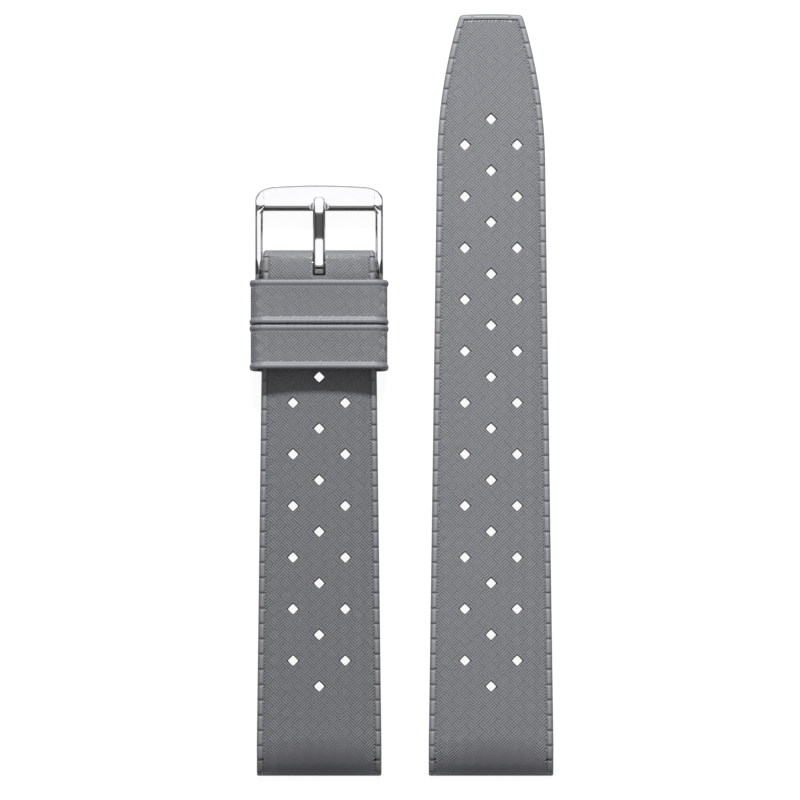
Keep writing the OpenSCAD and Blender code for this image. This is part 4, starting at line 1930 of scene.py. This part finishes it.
@dataclass
class Studio:
    """A white floor, a broad soft light above and beyond the tip, and a long lens overhead."""

    frame_w: float = 126.98
    mid: tuple[float, float] = (-0.24, -0.8)
    distance: float = 2400.0
    strap_h: float = 3.0
    floor_size: float = 12000.0
    key_power: float = 2.22
    key_place: tuple[float, float, float] = (4.0, 300.0, 325.0)
    key_size: tuple[float, float] = (130.0, 46.0)
    ambient: float = 0.5
    ambient_rise: tuple[float, float] = (0.2, 0.9)
    floor_glow: float = 0.93
    floor_drop: float = 0.02
    mirrored_power: float = 1.25
    mirrored_lean: float = 0.9
    # Height of a direction, raised towards the tip, and brightness there as a share of the sheet's
    mirrored_bands: tuple[tuple[float, float], ...] = (
        (0.0, 0.04),
        (0.42, 0.06),
        (0.56, 0.22),
        (0.66, 0.26),
        (0.8, 1.0),
    )

    def hang_camera(self) -> None:
        """Makes the camera at the photograph's viewing angle."""
        lens = bpy.data.cameras.new("long_lens")
        lens.sensor_width = 36.0
        lens.lens = lens.sensor_width * (self.distance - self.strap_h) / self.frame_w
        lens.clip_end = 100.0
        camera = bpy.data.objects.new("camera", lens)
        camera.location = (self.mid[0] * MM, self.mid[1] * MM, self.distance * MM)
        bpy.context.scene.collection.objects.link(camera)
        bpy.context.scene.camera = camera

    def lay_floor(self) -> None:
        """Lays the floor: white to the camera, with faint shadows, and grey in the steel."""
        bpy.ops.object.select_all(action="DESELECT")
        bpy.ops.mesh.primitive_plane_add(size=self.floor_size * MM, location=(0, 0, -self.floor_drop * MM))
        floor = bpy.context.object
        floor.name = "floor"
        material, tree = new_material("floor_white_paper")
        path = add_node(tree, "LightPath")
        seen = add_node(
            tree,
            "Math",
            {0: path.outputs["Is Camera Ray"], 1: path.outputs["Is Transmission Ray"]},
            operation="MAXIMUM",
        )
        plain = add_node(tree, "BsdfDiffuse", {"Color": linear("#A8A8A8")})
        shadow = add_node(tree, "BsdfDiffuse", {"Color": linear("#6A6A6A")})
        glow = add_node(tree, "Emission", {"Color": (1, 1, 1, 1), "Strength": self.floor_glow})
        lit = add_node(tree, "AddShader", {0: shadow.outputs[0], 1: glow.outputs[0]})
        mixed = add_node(
            tree, "MixShader", {0: seen.outputs[0], 1: plain.outputs[0], 2: lit.outputs[0]}
        )
        add_node(tree, "OutputMaterial", {"Surface": mixed.outputs[0]})
        floor.data.materials.append(material)

    def hang_lamps(self) -> None:
        """Hangs the soft key light above and beyond the tip."""
        light = bpy.data.lights.new("key_softbox", "AREA")
        light.shape = "RECTANGLE"
        light.size, light.size_y = (size * MM for size in self.key_size)
        light.energy = self.key_power
        lamp = bpy.data.objects.new("key_softbox", light)
        lamp.location = [v * MM for v in self.key_place]
        lamp.rotation_mode = "QUATERNION"
        lamp.rotation_quaternion = lamp.location.to_track_quat("Z", "Y")
        lamp.visible_camera = False
        bpy.context.scene.collection.objects.link(lamp)

    def paint_world(self) -> None:
        """Makes the room: white behind everything, with a dark side that the steel mirrors."""
        world = bpy.data.worlds.new("studio")
        bpy.context.scene.world = world
        world.use_nodes = True
        tree = world.node_tree
        tree.nodes.clear()
        way = add_node(tree, "TexCoord").outputs["Generated"]
        height = add_node(tree, "VectorMath", {0: way, 1: (0.0, 0.0, 1.0)}, operation="DOT_PRODUCT")
        # A wide white sheet hangs overhead, so that the light falls off towards the horizon
        soft = add_node(
            tree,
            "MapRange",
            {
                "Value": height.outputs["Value"],
                "From Min": self.ambient_rise[0],
                "From Max": self.ambient_rise[1],
                "To Min": 0.0,
                "To Max": self.ambient,
            },
            interpolation_type="SMOOTHSTEP",
        )
        # The steel mirrors that sheet, which comes down beyond the tip, and the dark room beside it
        raised = (0.0, self.mirrored_lean, 1.0)
        above = add_node(tree, "VectorMath", {0: way, 1: raised}, operation="DOT_PRODUCT")
        bands = add_node(tree, "ValToRGB", {"Fac": above.outputs["Value"]})
        marks = bands.color_ramp.elements
        for place, value in self.mirrored_bands[1:-1]:
            marks.new(place).color = (value, value, value, 1)
        for mark, (place, value) in zip(marks, self.mirrored_bands, strict=True):
            mark.position, mark.color = place, (value, value, value, 1)
        path = add_node(tree, "LightPath")
        ambient = add_node(tree, "Background", {"Color": soft.outputs[0], "Strength": 1.0})
        mirrored = add_node(
            tree, "Background", {"Color": bands.outputs["Color"], "Strength": self.mirrored_power}
        )
        white = add_node(tree, "Background", {"Color": (1, 1, 1, 1), "Strength": 1.0})
        room = add_node(
            tree,
            "MixShader",
            {0: path.outputs["Is Glossy Ray"], 1: ambient.outputs[0], 2: mirrored.outputs[0]},
        )
        shown = add_node(
            tree,
            "MixShader",
            {0: path.outputs["Is Camera Ray"], 1: room.outputs[0], 2: white.outputs[0]},
        )
        add_node(tree, "OutputWorld", {"Surface": shown.outputs[0]})

    def build(self) -> None:
        """Sets the floor, the lamps, the room and the plain view transform."""
        self.lay_floor()
        self.hang_lamps()
        self.paint_world()
        bpy.context.scene.view_settings.view_transform = "Standard"


def main() -> None:
    """Builds the studio and every piece, and gives the spring bar its finish."""
    logging.basicConfig(level=logging.INFO, format="%(name)s %(message)s")
    studio = Studio()
    studio.hang_camera()
    studio.build()
    builders = (
        TailPiece(),
        BucklePiece(),
        Keeper("keeper_front_moulding", "keeper_front", "loop_front", 71.6, 3.2),
        Keeper("keeper_rear_moulding", "keeper_rear", "loop_rear", 64.45, 3.2),
        BuckleFrame(),
        BuckleTongue(),
    )
    for builder in builders:
        piece = builder.build()
        log.info("%s: %d faces on %s", piece.name, len(piece.data.polygons), builder.body)
    SpringBar().dress()


if __name__ == "__main__":
    main()
